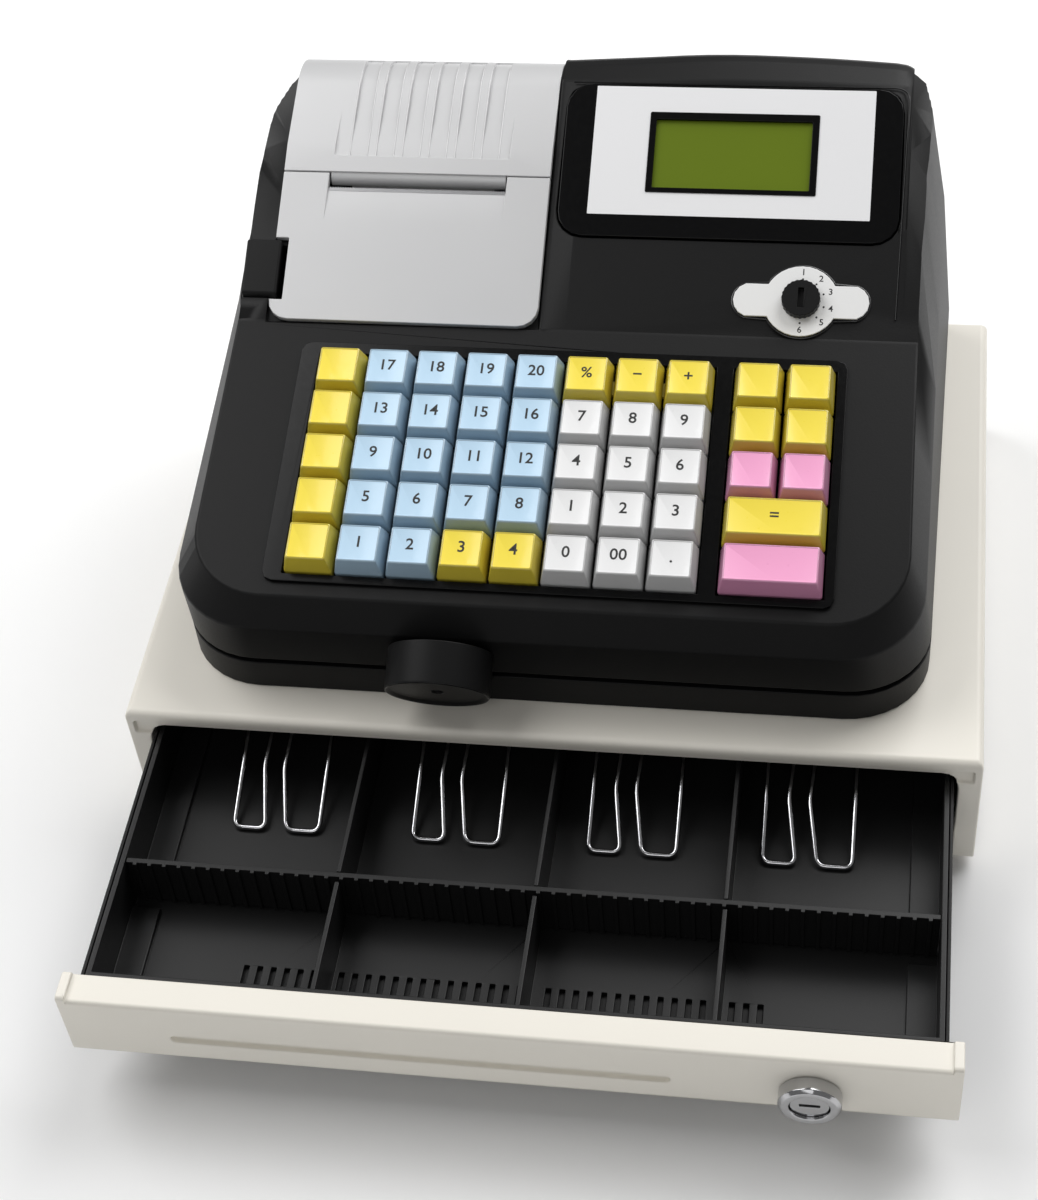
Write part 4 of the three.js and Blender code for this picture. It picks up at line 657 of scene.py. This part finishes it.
def key_bank(node_name, keys, slot):
    """The keys that move as one: each is (column, row, span, colour, words)."""
    parts, materials, order = [], [], []
    for column, row, span, colour, words in keys:
        if colour not in order:
            order.append(colour)
            materials += key_sets[colour]
        base = len(key_sets[colour]) * order.index(colour)
        x = column_place(column) + (KEY_PITCH / 2 if span == 2 else 0)
        v = REAR_ROW - row * KEY_PITCH
        points, faces, marks = key_shape((x, v), span)
        parts.append((points, faces, [base + mark for mark in marks]))
        if words:
            text_points, triangles, mark = printed(words, FIGURE_SIZE, (x, v + FIGURE_BACK),
                                                   FIGURE_HEIGHT)
            parts.append((text_points, triangles, base + mark))
    if len(keys) > 1:
        columns = [column_place(key[0]) for key in keys]
        rows = [REAR_ROW - key[1] * KEY_PITCH for key in keys]
        if len(set(columns)) > 1:
            web = rounded_outline(min(columns), max(columns), rows[0] - WEB_HALF,
                                  rows[0] + WEB_HALF, WEB_CORNER)
        else:
            web = rounded_outline(columns[0] - WEB_HALF, columns[0] + WEB_HALF, min(rows),
                                  max(rows), WEB_CORNER)
        web_points = placed(on_deck(stacked([web, web], WEB_HEIGHTS)))
        parts.append((web_points, tube_faces(2, len(web)), 0))
    mesh = joined_mesh(node_name + "_shape", parts)
    new_piece(node_name + "_cap", mesh, materials, node_name, slot, node_name)


rows = range(BLOCK_ROWS)
key_bank("function_keys", [(0, row, 1, "yellow", "") for row in rows], "yellow_key")
for column in range(1, NUMBER_COLUMNS + 1):
    numbers = [str(column + NUMBER_COLUMNS * (BLOCK_ROWS - 1 - row)) for row in rows]
    colours = ["yellow" if column > 2 and row == BLOCK_ROWS - 1 else "blue" for row in rows]
    key_bank("department_keys_%d" % column,
             [(column, row, 1, colours[row], numbers[row]) for row in rows], "blue_key")
entry_column = NUMBER_COLUMNS + 1
key_bank("entry_keys", [(entry_column + count, 0, 1, "yellow", sign)
                        for count, sign in enumerate(("%", "−", "+"))], "yellow_key")
DIGITS = [("7", "8", "9"), ("4", "5", "6"), ("1", "2", "3"), ("0", "00", ".")]
for row, digits in enumerate(DIGITS):
    for column, digit in enumerate(digits):
        key_bank("key_" + ("point" if digit == "." else digit),
                 [(entry_column + column, row + 1, 1, "white", digit)], "white_key")
pad_colours = ("yellow", "yellow", "pink")
for column in range(2):
    key_bank("modifier_keys_%d" % (column + 1),
             [(BLOCK_COLUMNS + column, row, 1, colour, "") for row, colour in enumerate(pad_colours)],
             "yellow_key")
key_bank("total_key", [(BLOCK_COLUMNS, PAD_ROWS, 2, "yellow", "=")], "yellow_key")
key_bank("tender_key", [(BLOCK_COLUMNS, PAD_ROWS + 1, 2, "pink", "")], "pink_key")

# Mode switch: a white plate with two wings snapped over the shaft, a thin black bead round it,
# the numbers and dots of its six settings, and a fluted black knob with a key slot.
plate_white = finish("white_dial_plastic", (0.86, 0.86, 0.855), roughness=0.3, grain=0.001,
                     relief=0.000008, drift=0.02)
eased("mode_plate", plate_white, "housing", "white_plastic", rounding=0.25)
SLOPE_START, SLOPE_TILT = (138.0, 136.652), math.radians(27)
DIAL_MIDDLE, DIAL_ANGLES = (84.9, 15.0), (88, 52, 20, -14, -46, -90)
DOT_RING, DOT_RADIUS, DOT_LOW, DOT_HIGH, DOT_AROUND = 8.9, 0.42, 1.15, 1.24, 10
NUMBER_RING, NUMBER_SIZE, NUMBER_HEIGHT = 11.7, 3.5, 1.21
WING_RIGHT, WING_LEFT, WING_RADIUS, WING_SPREAD = (103.6, 15), (66.2, 15), 7.4, 70
SEAT_RADIUS, SEAT_START, SEAT_POINTS, SEAT_BEAD, SEAT_LIFT = 14.65, 31, 24, 0.4, 0.15


def on_slope(points):
    """Points (across, up the display slope, off it) as places of the part."""
    return on_deck(points, SLOPE_START, SLOPE_TILT)


def disc(middle, radius, low, high, around):
    """A short round pin with a small chamfer: its three outlines stacked, and its faces."""
    angles = np.arange(around) * 2 * np.pi / around
    circle = np.stack([np.cos(angles), np.sin(angles)], axis=1)
    chamfer = min(radius / 4, (high - low) / 2)
    outlines = [np.array(middle) + circle * size for size in (radius, radius, radius - chamfer)]
    return stacked(outlines, [low, high - chamfer, high]), tube_faces(3, around)


def arc(middle, radius, start, end, steps=12):
    """Points along a circle's arc between two angles in degrees."""
    angles = np.radians(np.linspace(start, end, steps))
    return np.array(middle) + radius * np.stack([np.cos(angles), np.sin(angles)], axis=1)


dial_parts = []
for count, degrees in enumerate(DIAL_ANGLES):
    outward = np.array([math.cos(math.radians(degrees)), math.sin(math.radians(degrees))])
    dot_place = np.array(DIAL_MIDDLE) + DOT_RING * outward
    points, faces = disc(dot_place, DOT_RADIUS, DOT_LOW, DOT_HIGH, DOT_AROUND)
    dial_parts.append((placed(on_slope(points)), faces, 0))
    number_place = np.array(DIAL_MIDDLE) + NUMBER_RING * outward
    number = str(count + 1)
    dial_parts.append(printed(number, NUMBER_SIZE, number_place, NUMBER_HEIGHT, on_slope, 0))

right_wing = arc(WING_RIGHT, WING_RADIUS, -WING_SPREAD, WING_SPREAD)
left_wing = arc(WING_LEFT, WING_RADIUS, 180 - WING_SPREAD, 180 + WING_SPREAD)
rear_side = arc(DIAL_MIDDLE, SEAT_RADIUS, SEAT_START, 180 - SEAT_START, SEAT_POINTS)
front_side = arc(DIAL_MIDDLE, SEAT_RADIUS, 180 + SEAT_START, 360 - SEAT_START, SEAT_POINTS)
seat_path = np.concatenate([right_wing, rear_side, left_wing, front_side, right_wing[:1]])
seat, seat_faces = flat_wire(seat_path, SEAT_BEAD)
seat_points = placed(on_slope(seat + (0, 0, SEAT_LIFT)))
seat_finish = finish("dial_seat_gloss", (0.02, 0.02, 0.021), roughness=0.25, grain=0.002,
                     relief=0.000004)
seat_mesh = joined_mesh("dial_seat_shape", [(seat_points, seat_faces, 0)])
new_piece("dial_seat", seat_mesh, [seat_finish], "housing", "gloss_black")
dial_mesh = joined_mesh("dial_print_shape", dial_parts)
new_piece("dial_print", dial_mesh, [key_ink], "housing", "gloss_black")
eased("mode_switch", case_black, "mode_switch", "black_plastic", rounding=0.2)

# Display: a gloss black window set into the slope, with the green screen behind it, and a fine
# moulded bead on the case round the window's right and rear sides.
POD_CORNERS = ((120.6, 9.0), (121.9, 104.8), (-9.0, 104.8))
POD_BEND, POD_STEPS, POD_BEAD = 6.0, 9, 0.3
eased("display_window", bezel_gloss, "housing", "gloss_black", rounding=0.4)
screen_green = finish("screen_green", (0.125, 0.18, 0.008), roughness=0.35, grain=0.0006,
                      relief=0.000003, shine=0.2)
eased("lcd_screen", screen_green, "housing", "screen", rounding=0.2)
bead, bead_faces = flat_wire(bent(POD_CORNERS, POD_BEND, POD_STEPS), POD_BEAD)
pod_mesh = joined_mesh("pod_bead_shape", [(placed(on_slope(bead)), bead_faces, 0)])
new_piece("pod_bead", pod_mesh, [bezel_gloss], "housing", "gloss_black")

# Display label and screen frame: a white printed sheet on the window, with the black lip that
# dams the screen standing through it. The sheet's words are left out.
SHEET_OUTER, SHEET_INNER = (0.5, 109.0, 48.6, 103.0, 0.3), (22.6, 87.7, 58.5, 91.9, 0.3)
FRAME_OUTER, FRAME_INNER = (22.3, 88.0, 58.2, 92.2, 0.5), (24.8, 85.3, 60.2, 89.2, 0.4)
SHEET_HEIGHTS, FRAME_HEIGHTS, FRAME_ROUNDING = (0.7, 0.9, 0.7), (0.7, 1.25, -0.14), 0.15


def ring_mesh(name, outer, inner, heights):
    """A flat frame: the outer outline rises from the first height to the second, the frame runs
    level to the inner outline, and the inner outline falls to the third height. Each outline is
    (left, right, front, rear, corner radius) on the slope."""
    low, top, deep = heights
    outside, inside = rounded_outline(*outer), rounded_outline(*inner)
    points = stacked([outside, outside, inside, inside], [low, top, top, deep])
    around = len(outside)
    ring = np.arange(4)[:, None] * around
    following = (np.arange(4)[:, None] + 1) % 4 * around
    step = np.arange(around)[None, :]
    after = (step + 1) % around
    quads = np.stack([ring + step, ring + after, following + after, following + step], axis=-1)
    return joined_mesh(name, [(placed(on_slope(points)), quads.reshape(-1, 4).tolist(), 0)])


label_white = finish("white_label_sheet", (0.83, 0.83, 0.84), roughness=0.35, grain=0.002,
                     relief=0.000003, drift=0.01, shine=0.4)
label_mesh = ring_mesh("display_label_shape", SHEET_OUTER, SHEET_INNER, SHEET_HEIGHTS)
new_piece("display_label", label_mesh, [label_white], "housing", "white_plastic")
frame_mesh = ring_mesh("screen_frame_shape", FRAME_OUTER, FRAME_INNER, FRAME_HEIGHTS)
screen_frame = new_piece("screen_frame", frame_mesh, [bezel_gloss], "housing", "gloss_black")
round_edges(screen_frame, FRAME_ROUNDING)

# Printer covers: a fixed cover with the paper slot and a lid that swings up on its barrel, both
# moulded and sprayed silver, and the black latch that lets the lid go. A fine bead runs along
# each side of the lid's six channels.
silver = finish("silver_sprayed_plastic", (0.60, 0.60, 0.605), roughness=0.42, grain=0.0006,
                relief=0.00001, drift=0.03, metal=0.25, shine=0.35)
eased("printer_cover", silver, "housing", "silver", rounding=0.35)
eased("printer_lid", silver, "printer_lid", "silver", rounding=0.3)
eased("cover_latch", case_black, "cover_latch", "black_plastic", rounding=1.0)
LID_BEAD, BEAD_FOOT, BEAD_CORNER = 0.22, (0, 70.5, 0.86), (218.7, 177.05)
LID_CREST, LID_CREST_RADIUS, LID_CREST_DEGREES, ARC_POINTS = (238.73, 160.68), 22, (109, 72), 9
CHANNELS, CHANNEL_LEFT, CHANNEL_STEP, CHANNEL_WIDTH = 6, -95.9, 10.54, 7.1
crest_arc = arc(LID_CREST, LID_CREST_RADIUS, *LID_CREST_DEGREES, ARC_POINTS)
foot_place = on_slope([BEAD_FOOT])[0, 1:]
bead_path = np.concatenate([[foot_place], [BEAD_CORNER], crest_arc])
bead_parts = []
for count in range(CHANNELS):
    for edge in (0, CHANNEL_WIDTH):
        x = CHANNEL_LEFT + CHANNEL_STEP * count + edge
        bead, bead_faces = flat_wire(bead_path, LID_BEAD)
        bead_points = placed(np.column_stack([bead[:, 2] + x, bead[:, :2]]))
        bead_parts.append((bead_points, bead_faces, 0))
bead_mesh = joined_mesh("lid_beads_shape", bead_parts)
new_piece("lid_beads", bead_mesh, [silver], "printer_lid", "silver")

# Lid lip and tear edge: the lid's front rolls inward over the paper slot, and a toothed steel
# strip sits on the cover's side of it.
LIP_MIDDLE, LIP_OUTER, LIP_INNER, LIP_LEFT, LIP_RIGHT = (63.4, -3.1), 3.9, 2.9, -102.4, -32.6
TEAR_ENDS, TEETH_POINTS, TEETH_DEPTH, TEETH_DEGREES = (-102.6, -32.4), 141, 0.55, 20
TEETH_FOOT, TEAR_FRONT, TEAR_HEIGHTS = 56.6, 55.4, (-0.2, 0.62)
lip_profile = np.concatenate([arc(LIP_MIDDLE, LIP_OUTER, 90, 180, ARC_POINTS),
                              arc(LIP_MIDDLE, LIP_INNER, 90, 180, ARC_POINTS)[::-1]])
lip_ends = [np.column_stack([np.full(len(lip_profile), x), lip_profile])
            for x in (LIP_LEFT, LIP_RIGHT)]
lip_points = placed(on_slope(np.concatenate(lip_ends)))
lip_mesh = joined_mesh("lid_lip_shape", [(lip_points, tube_faces(2, len(lip_profile)), 0)])
new_piece("lid_lip", lip_mesh, [silver], "printer_lid", "silver")
tear_steel = finish("tear_strip_steel", (0.42, 0.42, 0.43), roughness=0.3, grain=0.0004,
                    relief=0.000003, metal=0.9)
teeth_x = np.linspace(*TEAR_ENDS, TEETH_POINTS)
teeth_s = TEETH_FOOT + TEETH_DEPTH * (np.arange(TEETH_POINTS) % 2)
tear_corners = [(x, TEAR_FRONT) for x in TEAR_ENDS]
teeth_outline = np.concatenate([np.stack([teeth_x, teeth_s], axis=1)[::-1], tear_corners])
teeth_points = placed(on_slope(stacked([teeth_outline, teeth_outline], TEAR_HEIGHTS)))
teeth_faces = tube_faces(2, len(teeth_outline))
teeth_mesh = joined_mesh("tear_strip_shape", [(teeth_points, teeth_faces, 0)], TEETH_DEGREES)
new_piece("tear_strip", teeth_mesh, [tear_steel], "housing", "chrome")

# Printer, platen and roll: the black works in their cradle below the covers, the rubber roller
# that feeds the paper over the tear edge, and the roll of white ticket paper behind it.
eased("printer_mechanism", case_black, "housing", "black_plastic", rounding=0.2)
eased("platen_roller", foot_rubber, "platen_roller", "rubber", rounding=0.2)
roll_paper = finish("ticket_paper", (0.88, 0.875, 0.86), roughness=0.8, grain=0.0008,
                    relief=0.00001, drift=0.01)
eased("paper_roll", roll_paper, "paper_roll", "paper", rounding=0.2)

# Clerk key reader: a short drum with a dished face and a small hole for the clerk's key, moulded
# in the case's black. A thin glossy ring runs round its face and round the hole.
eased("clerk_key_reader", case_black, "housing", "black_plastic", rounding=0.4)
READER_PLACE, READER_TILT = (-38.0, 3.0, 78.1), math.radians(27.5)
READER_BEAD, READER_POINTS = 0.22, 61
READER_RINGS = ((19.0, 0.05), (2.35, 1.0))
circle_angles = np.linspace(0, 2 * np.pi, READER_POINTS)
circle = np.stack([np.cos(circle_angles), np.sin(circle_angles)], axis=1)
reader_parts = []
for radius, depth in READER_RINGS:
    ring, ring_faces = flat_wire(radius * circle, READER_BEAD)
    across, up, out = ring.T
    tipped = np.stack([across, -up * math.sin(READER_TILT) + out * math.cos(READER_TILT),
                       up * math.cos(READER_TILT) + out * math.sin(READER_TILT)], axis=1)
    inward = np.array([0, math.cos(READER_TILT), math.sin(READER_TILT)]) * depth
    reader_parts.append((placed(tipped + READER_PLACE + inward), ring_faces, 0))
reader_mesh = joined_mesh("reader_rings_shape", reader_parts)
new_piece("reader_rings", reader_mesh, [bezel_gloss], "housing", "gloss_black")

# Board, supply and inlet: the electronics on the floor of the lower case, a lacquered board and
# a steel box, and the moulded inlet for the mains in the back wall.
board_green = finish("board_lacquer", (0.02, 0.10, 0.035), roughness=0.35, grain=0.002,
                     relief=0.00001)
eased("main_board", board_green, "housing", "board", rounding=0.2)
eased("power_supply", rail_steel, "housing", "black_steel", rounding=0.5)
eased("power_inlet", case_black, "housing", "black_plastic", rounding=0.3)
